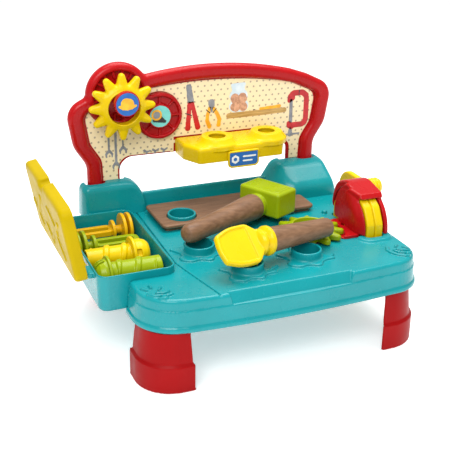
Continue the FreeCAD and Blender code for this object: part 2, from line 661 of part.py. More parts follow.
# --- shelf --------------------------------------------------------------------------------
def shelf_outline(inset):
    """Plan of the shelf: a rectangle whose two front corners are cut off at an angle."""
    return [(-46.0 + inset, SHELF_BACK_Y, 0), (112.0 - inset, SHELF_BACK_Y, 0), (112.0 - inset, 276.0, 10.0),
            (98.0 - inset, SHELF_FRONT_Y + inset, 8.0), (-31.0 + inset, SHELF_FRONT_Y + inset, 8.0),
            (-46.0 + inset, 276.0, 10.0)]


def make_tool_shelf():
    """Hollow shelf with two raised collars, open underneath."""
    body = plan_prism(shelf_outline(0.0), *SHELF_Z)
    body = softened(body, 3.0, lambda e: at_height(SHELF_Z[1])(e) and e.BoundBox.YMin < SHELF_BACK_Y - 1)
    for x in SHELF_COLLARS_X:
        body = body.fuse(cylinder((x, SHELF_COLLAR_Y, SHELF_Z[1] - 1), Z_AXIS, SHELF_COLLAR_R,
                                  SHELF_COLLAR_TOP_Z - SHELF_Z[1] + 1))
    hollow = [(x, y if y < SHELF_BACK_Y else SHELF_BACK_Y - WALL, r) for x, y, r in shelf_outline(WALL)]
    body = body.cut(plan_prism(hollow, SHELF_Z[0] - 1, SHELF_Z[1] - WALL))
    for x in SHELF_COLLARS_X:
        lower = cylinder((x, SHELF_COLLAR_Y, SHELF_Z[1] - WALL - 1), Z_AXIS, SHELF_COLLAR_R - WALL,
                         SHELF_COLLAR_TOP_Z - WALL - SHELF_Z[1] + WALL + 1)
        tube = ring((x, SHELF_COLLAR_Y, SHELF_Z[0] + 2), Z_AXIS, SHELF_HOLE_R + 2.0, SHELF_HOLE_R,
                    SHELF_COLLAR_TOP_Z - SHELF_Z[0] - 2)
        body = body.cut(lower).fuse(tube)
        body = body.cut(cylinder((x, SHELF_COLLAR_Y, SHELF_Z[0] - 1), Z_AXIS, SHELF_HOLE_R, 40))
    for x, z in SHELF_SCREWS:
        boss = cylinder((x, SHELF_BACK_Y - 12, z), Y_AXIS, 4.0, 12)
        body = body.fuse(boss)
    for x, z in SHELF_SCREWS:
        body = body.cut(cylinder((x, SHELF_BACK_Y - 10, z), Y_AXIS, 1.4, 11))
    return body.removeSplitter()


def make_shelf_badge():
    """Plate on the shelf's front edge, with a rim round its face."""
    plate = front_prism([(BADGE_X[0], BADGE_Z[0], 7.0), (BADGE_X[1], BADGE_Z[0], 7.0),
                         (BADGE_X[1], BADGE_Z[1], 3.0), (BADGE_X[0], BADGE_Z[1], 3.0)],
                        SHELF_FRONT_Y - 4.0, SHELF_FRONT_Y)
    face = front_prism(badge_face(), SHELF_FRONT_Y - 5.0, SHELF_FRONT_Y - 3.2)
    return plate.cut(face)


def badge_face():
    """Outline of the sunk face of the badge."""
    rim = 2.0
    return [(BADGE_X[0] + rim, BADGE_Z[0] + rim, 5.5), (BADGE_X[1] - rim, BADGE_Z[0] + rim, 5.5),
            (BADGE_X[1] - rim, BADGE_Z[1] - rim, 2.0), (BADGE_X[0] + rim, BADGE_Z[1] - rim, 2.0)]


def make_badge_sticker():
    """Sticker that fills the badge's sunk face."""
    return front_prism(badge_face(), SHELF_FRONT_Y - 3.6, SHELF_FRONT_Y - 3.2)


# --- gears --------------------------------------------------------------------------------
def make_gear():
    """Gear lying flat on Z = 0 with its centre at the origin: round teeth, web and raised hub."""
    pitch = 360.0 / GEAR_TEETH
    body = cylinder((0, 0, 0), Z_AXIS, GEAR_ROOT_R, GEAR_THICK)
    tooth = plan_prism([(GEAR_ROOT_R - 4, -8.4, 0), (GEAR_TIP_R, -3.6, 3.4), (GEAR_TIP_R, 3.6, 3.4),
                        (GEAR_ROOT_R - 4, 8.4, 0)], 0, GEAR_THICK)
    for i in range(GEAR_TEETH):
        turned = tooth.copy()
        turned.rotate(ORIGIN, Z_AXIS, i * pitch)
        body = body.fuse(turned)
    hub_r = GEAR_BORE_R + 3.5
    body = body.fuse(cylinder((0, 0, 0), Z_AXIS, hub_r, GEAR_THICK + GEAR_HUB))
    body = body.fuse(Part.makeCone(GEAR_ROOT_R, hub_r, GEAR_HUB - 2.0, V(0, 0, GEAR_THICK), Z_AXIS))
    body = body.cut(cylinder((0, 0, -1), Z_AXIS, GEAR_BORE_R, GEAR_THICK + GEAR_HUB + 2))
    return body.removeSplitter()


def back_gear_height():
    """Height of the hanging gear's centre: its bore clears the top of the post by FIT."""
    return POST[1] + POST_R + FIT - GEAR_BORE_R


def make_gear_yellow():
    """Gear on the back board, with its hub to the front."""
    gear = make_gear()
    gear.rotate(ORIGIN, X_AXIS, 90)
    gear.translate(V(POST[0], BACK_GEAR_FRONT_Y + GEAR_THICK, back_gear_height()))
    return gear


def make_gear_green():
    """Gear on the table, with its hub upwards, round the seat's stub."""
    gear = make_gear()
    gear.rotate(ORIGIN, Z_AXIS, 360.0 / GEAR_TEETH / 4)
    hub_cap = ring((0, 0, 0), Z_AXIS, GEAR_BORE_R + 0.5, 12.0, GEAR_THICK - 3.0)
    gear = gear.fuse(hub_cap).removeSplitter()
    gear.translate(V(*TABLE_GEAR, TABLE_GEAR_Z))
    return gear


# --- plank and hand tools -----------------------------------------------------------------
def make_plank():
    """Wood-look plank that hooks over one of the rings on the table."""
    x0, x1 = PLANK_X
    y0, y1 = PLANK_Y
    corner_x, corner_y = PLANK_NOTCH
    points = [(x0, y0, 7.0), (x1, y0, 7.0), (x1, corner_y, 5.0), (corner_x, corner_y, 3.0),
              (corner_x, y1, 5.0), (x0, y1, 7.0)]
    body = plan_prism(points, *PLANK_Z)
    body = softened(body, 2.0, at_height(PLANK_Z[1]))
    hole = cylinder((*PLANK_RING, PLANK_Z[0] - 1), Z_AXIS, CUP_R + 0.8, 20)
    return body.cut(hole)


def place_hammer(shape):
    """From the hammer's own frame (handle along +X) to where it lies on the bench."""
    shape.rotate(ORIGIN, Y_AXIS, -HAMMER_TILT)
    shape.rotate(ORIGIN, Z_AXIS, HAMMER_YAW)
    shape.translate(V(*HAMMER_HEAD))
    return shape


def make_hammer_head():
    """Rounded block with its collar for the handle."""
    dx, dy, dz = (value / 2 for value in HEAD_SIZE)
    head = box(-dx, dx, -dy, dy, -dz, dz)
    head = head.makeFillet(5.0, head.Edges)
    collar = revolve_x(((dx - 3, 13.0), (dx + 5, 13.5), (dx + 9.0, 16.5)), (0, 0, -HANDLE_DROP))
    pin = cylinder((dx + 8.5, 0, -HANDLE_DROP), X_AXIS, 7.5, 14.0)
    return place_hammer(head.fuse(collar).fuse(pin).removeSplitter())


def make_hammer_handle():
    """Handle that slims towards a round butt."""
    start = HEAD_SIZE[0] / 2 + 9.0
    profile = ((0, 17.2), (4, 18.2), (24, 17.6), (60, 15.0), (100, 13.2), (126, 13.4),
               (136, 12.4), (142, 9.6), (145, 5.5))
    handle = revolve_x(profile, (start, 0, -HANDLE_DROP))
    bore = cylinder((start - 1, 0, -HANDLE_DROP), X_AXIS, 7.5, 14.5)
    return place_hammer(handle.cut(bore))


def place_driver(shape):
    """From the screwdriver's own frame (handle along +X, blade flat in XY) to the bench."""
    shape.rotate(ORIGIN, X_AXIS, DRIVER_ROLL)
    shape.rotate(ORIGIN, Y_AXIS, DRIVER_DIP)
    shape.rotate(ORIGIN, Z_AXIS, DRIVER_YAW)
    shape.translate(V(*DRIVER_NECK))
    return shape


def make_driver_blade():
    """Wide flat blade with a raised rim, and two rings at its neck."""
    tip = -DRIVER_BLADE - 6.0
    outline = [(-9.0, -13.0, 3.0), (-24.0, -26.0, 8.0), (tip + 7.0, -22.0, 6.0), (tip, 0.0, 20.0),
               (tip + 7.0, 22.0, 6.0), (-24.0, 26.0, 8.0), (-9.0, 13.0, 3.0)]
    blade = plan_prism(outline, -5.0, 5.0)
    inner = [(-20.0, -14.0, 3.0), (-27.0, -20.0, 5.0), (tip + 10.0, -17.5, 4.0), (tip + 5.0, 0.0, 14.0),
             (tip + 10.0, 17.5, 4.0), (-27.0, 20.0, 5.0), (-20.0, 14.0, 3.0)]
    for z in (3.6, -5.5):
        blade = blade.cut(plan_prism(inner, z, z + 1.9))
    rings = revolve_x(((-11, 13.5), (-8, 17.0), (-4, 17.5), (-2, 15.0), (0, 15.0), (2, 19.0),
                       (6, 19.5), (8.5, 17.5)), (0, 0, 0))
    pin = cylinder((8.0, 0, 0), X_AXIS, 7.0, 16.0)
    return place_driver(blade.fuse(rings).fuse(pin).removeSplitter())


def make_driver_handle():
    """Tapered handle with a rounded end."""
    profile = ((8.5, 16.0), (12, 16.4), (40, 15.2), (78, 13.6), (106, 12.9), (111, 11.8), (114, 8.5))
    handle = revolve_x(profile, (0, 0, 0))
    return place_driver(handle.cut(cylinder((7.5, 0, 0), X_AXIS, 7.0, 16.5)))


# --- toy screws in the bin ----------------------------------------------------------------


def discs_x(items, y, z):
    """Coaxial discs along X: items list (x start, width, radius)."""
    body = None
    for x, width, radius in items:
        disc = cylinder((x, y, z), X_AXIS, radius, width)
        body = disc if body is None else body.fuse(disc)
    return body


def slotted_bar(x0, x1, y, z):
    """Flat frame with a long slot, which is the shank of a thin toy screw."""
    bar = plan_prism(rectangle(x0, x1, y - 12.0, y + 12.0, 9.0), z - 4.0, z + 4.0)
    return bar.cut(plan_prism(rectangle(x0 + 8.0, x1 - 8.0, y - 5.0, y + 5.0, 4.0), z - 5.0, z + 5.0))


def make_screw_yellow():
    """Thin toy screw with its two large discs at the right."""
    y = 255.0
    z = BIN_FLOOR_Z + ROW_GAP + THIN_R
    right = ROW_X[1]
    discs = discs_x(((right - 4.5, 4.5, THIN_R), (right - 13.0, 4.5, THIN_R), (right - 27.0, 4.5, 14.0),
                     (right - 27.0, 27.0, 6.0)), y, z)
    return discs.fuse(slotted_bar(ROW_X[0], right - 24.0, y, z)).removeSplitter()


def make_screw_green():
    """Thin toy screw with its two large discs at the left."""
    y = 213.5
    z = BIN_FLOOR_Z + ROW_GAP + THIN_R
    left = ROW_X[0]
    discs = discs_x(((left, 4.5, THIN_R), (left + 8.5, 4.5, THIN_R), (left + 22.5, 4.5, 14.0),
                     (left, 27.0, 6.0)), y, z)
    return discs.fuse(slotted_bar(left + 24.0, ROW_X[1], y, z)).removeSplitter()


def threaded_shank(x0, x1, y, z, radius):
    """Hollow shank with a coarse thread shown as rounded ridges."""
    body = cylinder((x0, y, z), X_AXIS, radius, x1 - x0)
    pitch = 17.0
    for i in range(int((x1 - x0) / pitch)):
        x = x0 + (i + 0.3) * pitch
        ridge = revolve_x(((0, radius - 0.5), (2.0, radius + 2.5), (6.0, radius + 2.5),
                           (8.0, radius - 0.5)), (x, y, z))
        body = body.fuse(ridge)
    return body


def make_bolt_yellow():
    """Thick hollow toy bolt with a flange and a notched domed head at its right."""
    y = 169.0
    z = BIN_FLOOR_Z + ROW_GAP + BOLT_R
    flange_x = ROW_X[1] - 26.0
    head = revolve_x(((0, BOLT_R), (4, BOLT_R), (4, 19.0), (18, 18.5), (23, 15.5), (26, 10.0)), (flange_x, y, z))
    for turn in (25, 155):
        notch = box(flange_x + 4.0, flange_x + 12.0, y - 4.0, y + 4.0, z + 15.0, z + 25.0)
        notch.rotate(V(0, y, z), X_AXIS, turn - 90)
        head = head.cut(notch)
    body = threaded_shank(ROW_X[0] + 2.0, flange_x + 1.0, y, z, 14.0).fuse(head)
    return body.cut(cylinder((ROW_X[0], y, z), X_AXIS, 10.5, 55.0)).removeSplitter()


def make_bolt_green():
    """Thick toy bolt with a half-dome head at its left that has a crossed slot."""
    y = 122.0
    z = BIN_FLOOR_Z + ROW_GAP + BOLT_R
    left = ROW_X[0]
    head = revolve_x(((0, 8.0), (3, 14.5), (9, 19.0), (16, 19.5), (16, BOLT_R), (20, BOLT_R)), (left, y, z))
    head = head.cut(box(left - 1, left + 13, y - 6.0, y - 2.0, z - 30, z + 30))
    head = head.cut(box(left - 1, left + 13, y + 2.0, y + 6.0, z - 30, z + 30))
    body = threaded_shank(left + 19.0, ROW_X[1], y, z, 14.0).fuse(head)
    return body.cut(cylinder((ROW_X[1] - 30.0, y, z), X_AXIS, 10.5, 35.0)).removeSplitter()


# --- saw ----------------------------------------------------------------------------------
def make_saw_base():
    """Flat base on the table: the seat for the green gear and the foot of the guard."""
    seat_top = TOP_Z + 1.8
    seat = cylinder((*TABLE_GEAR, TOP_Z), Z_AXIS, 36.0, seat_top - TOP_Z)
    left = SAW_X - SAW_WHEEL_WIDTH / 2 - 1.5
    foot = plan_prism([(116, 95, 8), (left, 95, 1), (left, 200, 2), (126, 200, 12), (118, 160, 10)],
                      TOP_Z, TOP_Z + 4.5)
    foot = foot.cut(box(110, TABLE_GEAR[0] + GEAR_TIP_R + 1.0, 90, 210, seat_top, TOP_Z + 10))
    stub = cylinder((*TABLE_GEAR, TOP_Z), Z_AXIS, 11.5, 11.0)
    body = seat.fuse(foot).fuse(stub)
    body = body.cut(cylinder((100, *SAW_AXLE), X_AXIS, SAW_AXLE_R + 1.0, 60))
    for x, y in SAW_SCREWS:
        body = body.cut(cylinder((x, y, TOP_Z - 1), Z_AXIS, 1.4, 4.2))
    return body.removeSplitter()


def make_saw_guard():
    """Hood over the wheel: rounded on its outer side, slotted for the wheel at the front."""
    half = SAW_WHEEL_WIDTH / 2 + 1.0
    floor = GUARD_SIDE[0][1]
    hood = side_prism(GUARD_SIDE, *GUARD_X)
    for x0, x1 in ((GUARD_X[0] + 3.0, SAW_X - half), (SAW_X + half, GUARD_X[1])):
        hood = hood.fuse(cylinder((x0, *SAW_AXLE), X_AXIS, CHEEK_R, x1 - x0))
    hood = hood.common(box(100, 200, 50, 250, floor, 250))
    room = cylinder((SAW_X - half, *SAW_AXLE), X_AXIS, SAW_WHEEL_R + 1.5, 2 * half)
    mouth = box(SAW_X - half, SAW_X + half, 80, SAW_AXLE[0], 100, 163)
    lower = box(SAW_X - half, SAW_X + half, SAW_AXLE[0] - 1, SAW_AXLE[0] + SAW_WHEEL_R + 1.5, 100, SAW_AXLE[1])
    hood = hood.cut(room).cut(mouth).cut(lower)
    hollow = box(GUARD_X[0] + 3.0, SAW_X - half - WALL, 118, 176, 100, 160)
    boss = cylinder((GUARD_X[0] + 1, *SAW_AXLE), X_AXIS, 8.0, SAW_X - half - GUARD_X[0] - 1)
    boss = boss.common(box(100, 200, 100, 200, floor, 160))
    hood = hood.cut(hollow).fuse(boss)
    return hood.cut(cylinder((GUARD_X[0] + 4.0, *SAW_AXLE), X_AXIS, SAW_AXLE_R + AXLE_GAP, 60)).removeSplitter()


def make_saw_housing():
    """Side cover behind the guard, rounded at both ends."""
    x0, x1 = HOUSING_X
    plate = side_prism([(119.0, TOP_Z, 0), (119.0, 174.5, 26.0), (231.0, 174.5, 28.0), (231.0, TOP_Z, 0)], x0, x1)
    plate = softened(plate, 2.5, lambda e: abs(e.BoundBox.XMin - x1) < 0.01 and e.BoundBox.ZMax > TOP_Z + 1)
    return plate.cut(cylinder((x0 - 1, *SAW_AXLE), X_AXIS, SAW_AXLE_R + AXLE_GAP, 6.0))


def make_saw_grip():
    """Ribbed grip that stands out sideways from the cover."""
    profile = [(0, 11.0)]
    ribs = 4
    pitch = 5.0
    for i in range(ribs):
        x = 1.0 + i * pitch
        profile += [(x + 0.6, 12.5), (x + pitch - 1.6, 12.5), (x + pitch - 0.8, 11.4)]
    profile += [(ribs * pitch + 2.0, 12.2), (ribs * pitch + 4.5, 10.5), (ribs * pitch + 5.5, 7.0)]
    return revolve_x(profile, (HOUSING_X[1], 174.0, 160.0))


def make_wheel_half(side):
    """One of the two mirror-image halves of the saw's twelve-sided wheel."""
    width = SAW_WHEEL_WIDTH / 2 - 0.2
    corners = []
    for i in range(12):
        angle = math.radians(30.0 * i + 15.0)
        reach = SAW_WHEEL_R / math.cos(math.radians(15.0)) * 0.985
        corners.append((SAW_AXLE[0] + reach * math.cos(angle), SAW_AXLE[1] + reach * math.sin(angle), 8.0))
    half = side_prism(corners, SAW_X + 0.2, SAW_X + 0.2 + width)
    half = softened(half, 3.5, lambda e: abs(e.BoundBox.XMin - (SAW_X + 0.2 + width)) < 0.01)
    half = half.cut(cylinder((SAW_X, *SAW_AXLE), X_AXIS, 30.0, width - 3.0))
    half = half.fuse(cylinder((SAW_X + 0.2, *SAW_AXLE), X_AXIS, 8.0, width))
    half = half.cut(cylinder((SAW_X - 1, *SAW_AXLE), X_AXIS, SAW_AXLE_R, width + 3))
    if side < 0:
        half = half.mirror(V(SAW_X, 0, 0), X_AXIS)
    return half.removeSplitter()


def make_saw_axle():
    """Axle that turns with the wheel in the guard and the side cover."""
    start = GUARD_X[0] + 4.3
    return cylinder((start, *SAW_AXLE), X_AXIS, SAW_AXLE_R, HOUSING_X[0] + 4.5 - start)


# --- fasteners ----------------------------------------------------------------------------
def make_tower_screws():
    """Four screws that hold the towers, driven up from under the table."""
    shapes = []
    for side in (-1, 1):
        for x, y in TOWER_SCREWS:
            shapes.append(screw((side * x, y, TOP_Z + 11), (0, 0, -1), 11 + WALL))
    return Part.makeCompound(shapes)


def make_saw_screws():
    """Screws that hold the saw's base, driven up from under the table."""
    return Part.makeCompound([screw((x, y, TOP_Z + 3.0), (0, 0, -1), 3.0 + WALL) for x, y in SAW_SCREWS])


def make_bin_screws():
    """Screws that hold the bin to the side of the table."""
    return Part.makeCompound([screw((BIN_X[1] - 4.5, y, z), (1, 0, 0), 4.5 + 0.5 + 0.5 + WALL)
                              for y, z in BIN_SCREWS])


def make_shelf_screws():
    """Screws that hold the shelf, driven from behind the panel."""
    return Part.makeCompound([screw((x, SHELF_BACK_Y - 9, z), (0, 1, 0), 9 + PANEL_BACK_Y - PANEL_FRONT_Y)
                              for x, z in SHELF_SCREWS])


def make_post_screw():
    """Screw that holds the gear post, driven from behind."""
    return screw((POST[0], 292.0, POST[1]), (0, 1, 0), TUBE_Y[1] - 292.0)


def make_frame_screws():
    """Screws through the feet of the back frame."""
    return Part.makeCompound([screw((side * x, 302.0, z), (0, 1, 0), TUBE_Y[1] - 302.0)
                              for x, z in FRAME_SCREWS for side in (-1, 1)])


# --- assembly -----------------------------------------------------------------------------
def build():
    """Every node of the object, by name, in the bench frame."""
    nodes = {
        "bench_top": make_bench_top(),
        "rear_rail": make_rear_rail(),
        "tower_left": make_tower(-1),
        "tower_right": make_tower(1),
        "tool_bin": make_tool_bin(),
        "bin_lid": make_bin_lid(),
        "lid_hinge_rod": make_hinge_rod(),
        "back_frame": make_back_frame(),
        "board_print": make_board_print(),
        "gear_post": make_gear_post(),
        "post_sticker": make_sticker(*POST, POST_CAP_Y[0], POST_CAP_R - 2.6),
        "disc_sticker": make_sticker(*DISC, 301.0, 15.6),
        "gear_yellow": make_gear_yellow(),
        "gear_green": make_gear_green(),
        "tool_shelf": make_tool_shelf(),
        "shelf_badge": make_shelf_badge(),
        "badge_sticker": make_badge_sticker(),
        "plank": make_plank(),
        "hammer_head": make_hammer_head(),
        "hammer_handle": make_hammer_handle(),
        "screwdriver_blade": make_driver_blade(),
        "screwdriver_handle": make_driver_handle(),
        "toy_screw_yellow": make_screw_yellow(),
        "toy_screw_green": make_screw_green(),
        "toy_bolt_yellow": make_bolt_yellow(),
        "toy_bolt_green": make_bolt_green(),
        "saw_base": make_saw_base(),
        "saw_guard": make_saw_guard(),
        "saw_housing": make_saw_housing(),
        "saw_grip": make_saw_grip(),
        "saw_wheel_left": make_wheel_half(-1),
        "saw_wheel_right": make_wheel_half(1),
        "saw_axle": make_saw_axle(),
        "tower_screws": make_tower_screws(),
        "saw_screws": make_saw_screws(),
        "bin_screws": make_bin_screws(),
        "shelf_screws": make_shelf_screws(),
        "post_screw": make_post_screw(),
        "frame_screws": make_frame_screws(),
    }
    for side, side_name in ((-1, "left"), (1, "right")):
        for back, end_name in ((False, "front"), (True, "back")):
            nodes[f"leg_{end_name}_{side_name}"] = make_leg(side, back)
    return nodes


def main():
    """Move the bottom centre of the whole box to the origin and write one file per node."""
    nodes = build()
    whole = FreeCAD.BoundBox()
    for shape in nodes.values():
        whole.add(shape.optimalBoundingBox(False, False))
    shift = V(-whole.Center.x, -whole.Center.y, -whole.ZMin)
    print(f"shift {shift.x:.3f} {shift.y:.3f} {shift.z:.3f}")
    print(f"size {whole.XLength:.1f} {whole.YLength:.1f} {whole.ZLength:.1f}")
    os.makedirs("parts", exist_ok=True)
    for name, shape in nodes.items():
        shape.translate(shift)
        if not shape.isValid():
            print("not valid:", name)
        print(f"{name}: {len(shape.Solids)} solid(s), {shape.Volume / 1000:.2f} cm3")
        shape.exportStep(f"parts/{name}.step")


main()
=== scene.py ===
import math
from functools import partial

import bpy
import numpy as np
from mathutils import Matrix, Vector


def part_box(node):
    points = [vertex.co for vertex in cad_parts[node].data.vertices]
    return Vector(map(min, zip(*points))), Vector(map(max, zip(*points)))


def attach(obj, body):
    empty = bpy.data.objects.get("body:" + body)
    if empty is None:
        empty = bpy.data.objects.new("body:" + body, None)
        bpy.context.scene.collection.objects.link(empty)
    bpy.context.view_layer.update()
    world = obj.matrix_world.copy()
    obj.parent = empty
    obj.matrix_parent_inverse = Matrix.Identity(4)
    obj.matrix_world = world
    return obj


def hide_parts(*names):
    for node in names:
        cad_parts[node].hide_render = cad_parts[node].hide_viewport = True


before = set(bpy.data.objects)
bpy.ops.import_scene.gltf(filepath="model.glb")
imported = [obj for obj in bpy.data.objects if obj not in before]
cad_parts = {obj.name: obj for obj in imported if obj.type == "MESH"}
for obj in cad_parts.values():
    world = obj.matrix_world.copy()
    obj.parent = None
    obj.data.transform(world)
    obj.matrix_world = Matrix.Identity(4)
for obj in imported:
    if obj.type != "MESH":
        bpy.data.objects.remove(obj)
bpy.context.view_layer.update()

# Everything below is drawn in the bench's own frame, in millimetres: X to the right from the middle of the
# table, Y back from the front edge, Z up from the floor. The rear rail's box places it in the shared frame.
MM = 0.001
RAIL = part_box("rear_rail")
RAIL_Y = 299         # the rail's front; its middle is at x = 0
SHIFT = np.array([(RAIL[0].x + RAIL[1].x) / 2 / MM, RAIL[0].y / MM - RAIL_Y, 0])
TABLE_Z = 122        # top of the table

# --- distances ---
def length(*parts):
    """Length of the vector with these parts."""
    return np.sqrt(sum(part * part for part in parts))


def smin(a, b, k):
    """Union of two distances, blended over k."""
    h = np.clip(0.5 + 0.5 * (b - a) / k, 0, 1)
    return b + (a - b) * h - k * h * (1 - h)


def smax(a, b, k):
    """Intersection of two distances, blended over k."""
    return -smin(-a, -b, k)


def slab(t, t0, t1):
    """Distance to the space between two parallel planes."""
    return np.abs(t - (t0 + t1) / 2) - (t1 - t0) / 2


def joined(a, b, e):
    """Intersection of two distances with an edge of radius e."""
    u = a + e
    v = b + e
    return np.minimum(np.maximum(u, v), 0) + length(np.maximum(u, 0), np.maximum(v, 0)) - e


def trim(d, *cuts):
    """A distance cut by others in turn; each cut is (distance, blend)."""
    for other, k in cuts:
        d = smax(d, other, k)
    return d


def hard(*parts):
    """Intersection of any number of distances with sharp edges."""
    return np.maximum.reduce(parts)


def block(p, lo, hi, e):
    """Rounded box between two corners."""
    q = [slab(p[:, i], lo[i], hi[i]) + e for i in range(3)]
    out = length(*[np.maximum(c, 0) for c in q])
    return out + np.minimum(hard(*q), 0) - e


def barrel(p, axis, centre, radius, t0, t1, e):
    """Rounded cylinder along an axis; centre is in the other two coordinates."""
    i, j = [k for k in range(3) if k != axis]
    return joined(length(p[:, i] - centre[0], p[:, j] - centre[1]) - radius, slab(p[:, axis], t0, t1), e)


def tube(p, axis, centre, outer, inner, t0, t1, e):
    """Rounded pipe along an axis."""
    i, j = [k for k in range(3) if k != axis]
    r = length(p[:, i] - centre[0], p[:, j] - centre[1])
    return joined(np.abs(r - (outer + inner) / 2) - (outer - inner) / 2, slab(p[:, axis], t0, t1), e)


def strokes(u, v, paths, k=0):
    """Union of round-ended strokes in a plane: each path is (points, radius at start, radius at end)."""
    best = None
    for points, r0, r1 in paths:
        count = len(points) - 1
        for i in range(count):
            (ax, ay), (bx, by) = points[i], points[i + 1]
            dx, dy = bx - ax, by - ay
            t = np.clip(((u - ax) * dx + (v - ay) * dy) / max(dx * dx + dy * dy, 1e-9), 0, 1)
            radius = r0 + (r1 - r0) * (i + t) / count
            d = length(u - ax - t * dx, v - ay - t * dy) - radius
            best = d if best is None else (smin(best, d, k) if k else np.minimum(best, d))
    return best


def half(value, through, normal):
    """Distance to a half space: through is a point, normal points out; value lists the coordinates."""
    n = np.array(normal, float)
    n /= np.linalg.norm(n)
    return sum((value[i] - through[i]) * n[i] for i in range(len(n)))


def arc(centre, radius, start, end, count=12):
    """Points on an arc, from one angle to another in degrees."""
    return [(centre[0] + radius * math.cos(math.radians(start + (end - start) * i / count)),
             centre[1] + radius * math.sin(math.radians(start + (end - start) * i / count)))
            for i in range(count + 1)]


def rounded(points, steps=8):
    """Closed loop of (x, y, radius) corners as a polyline."""
    loop = []
    count = len(points)
    for i in range(count):
        x, y, r = points[i]
        corner = np.array([x, y], float)
        if r <= 0:
            loop.append(corner)
            continue
        back = np.array(points[i - 1][:2], float) - corner
        ahead = np.array(points[(i + 1) % count][:2], float) - corner
        back /= np.linalg.norm(back)
        ahead /= np.linalg.norm(ahead)
        half_angle = math.acos(float(np.clip(back @ ahead, -1, 1))) / 2
        if half_angle > 1.55:
            loop.append(corner)
            continue
        reach = r / math.tan(half_angle)
        start, end = corner + back * reach, corner + ahead * reach
        middle = (back + ahead) / np.linalg.norm(back + ahead)
        centre = corner + middle * r / math.sin(half_angle)
        a0 = math.atan2(*(start - centre)[::-1])
        turn = (math.atan2(*(end - centre)[::-1]) - a0 + math.pi) % (2 * math.pi) - math.pi
        for s in range(steps + 1):
            a = a0 + turn * s / steps
            loop.append(centre + r * np.array([math.cos(a), math.sin(a)]))
    return np.array(loop)


class Outline:
    """Signed distance to a closed polyline, kept on a fine grid and read between its points."""

    def __init__(self, loop, step=1, pad=16):
        loop = np.asarray(loop, float)
        self.lo = loop.min(0) - pad
        self.step = step
        self.n = np.ceil((loop.max(0) + pad - self.lo) / step).astype(int) + 1
        gx, gy = np.meshgrid(self.lo[0] + step * np.arange(self.n[0]),
                             self.lo[1] + step * np.arange(self.n[1]), indexing="ij")
        best = np.full(gx.shape, 1e18)
        inside = np.zeros(gx.shape, bool)
        for a, b in zip(loop, np.roll(loop, -1, 0)):
            d = b - a
            if d @ d < 1e-12:
                continue
            t = np.clip(((gx - a[0]) * d[0] + (gy - a[1]) * d[1]) / (d @ d), 0, 1)
            best = np.minimum(best, (gx - a[0] - t * d[0]) ** 2 + (gy - a[1] - t * d[1]) ** 2)
            if a[1] != b[1]:
                crosses = (a[1] > gy) != (b[1] > gy)
                inside ^= crosses & (gx < a[0] + (gy - a[1]) * d[0] / d[1])
        self.grid = (np.sqrt(best) * np.where(inside, -1, 1)).astype(np.float32)

    def __call__(self, u, v):
        fu, fv = (u - self.lo[0]) / self.step, (v - self.lo[1]) / self.step
        cu = np.clip(fu, 0, self.n[0] - 1.001)
        cv = np.clip(fv, 0, self.n[1] - 1.001)
        i, j = cu.astype(int), cv.astype(int)
        s, t = (cu - i).astype(np.float32), (cv - j).astype(np.float32)
        g = self.grid
        inner = (g[i, j] * (1 - s) * (1 - t) + g[i + 1, j] * s * (1 - t)
                 + g[i, j + 1] * (1 - s) * t + g[i + 1, j + 1] * s * t)
        return inner + length(fu - cu, fv - cv) * self.step


# --- meshing ---
CORNERS = np.array([(i, j, k) for i in (0, 1) for j in (0, 1) for k in (0, 1)])
EDGES = [(a, b) for a in range(8) for b in range(a + 1, 8) if abs(CORNERS[a] - CORNERS[b]).sum() == 1]
BLOCK = 6


def sample(field, lo, n, h):
    """Distances on a grid of n points, worked out only near the surface; elsewhere just inside or outside."""
    blocks = np.ceil((n - 1) / BLOCK).astype(int)
    n = blocks * BLOCK + 1
    index = np.stack(np.meshgrid(*[np.arange(b) for b in blocks], indexing="ij"), -1).reshape(-1, 3)
    centres = lo + (index + 0.5) * BLOCK * h
    far = field(centres.astype(np.float32))
    reach = 0.5 * BLOCK * float(np.linalg.norm(h)) * 1.3 + 1
    values = np.empty(n, np.float32)
    for (i, j, k), d in zip(index * BLOCK, far):
        values[i:i + BLOCK + 1, j:j + BLOCK + 1, k:k + BLOCK + 1] = 9 if d > 0 else -9
    close = index[np.abs(far) < reach] * BLOCK
    offsets = np.stack(np.meshgrid(*[np.arange(BLOCK + 1)] * 3, indexing="ij"), -1).reshape(-1, 3)
    for part in range(0, len(close), 2500):
        cells = (close[part:part + 2500, None, :] + offsets[None]).reshape(-1, 3)
        d = field((lo + cells * h).astype(np.float32))
        values[cells[:, 0], cells[:, 1], cells[:, 2]] = d
    return values


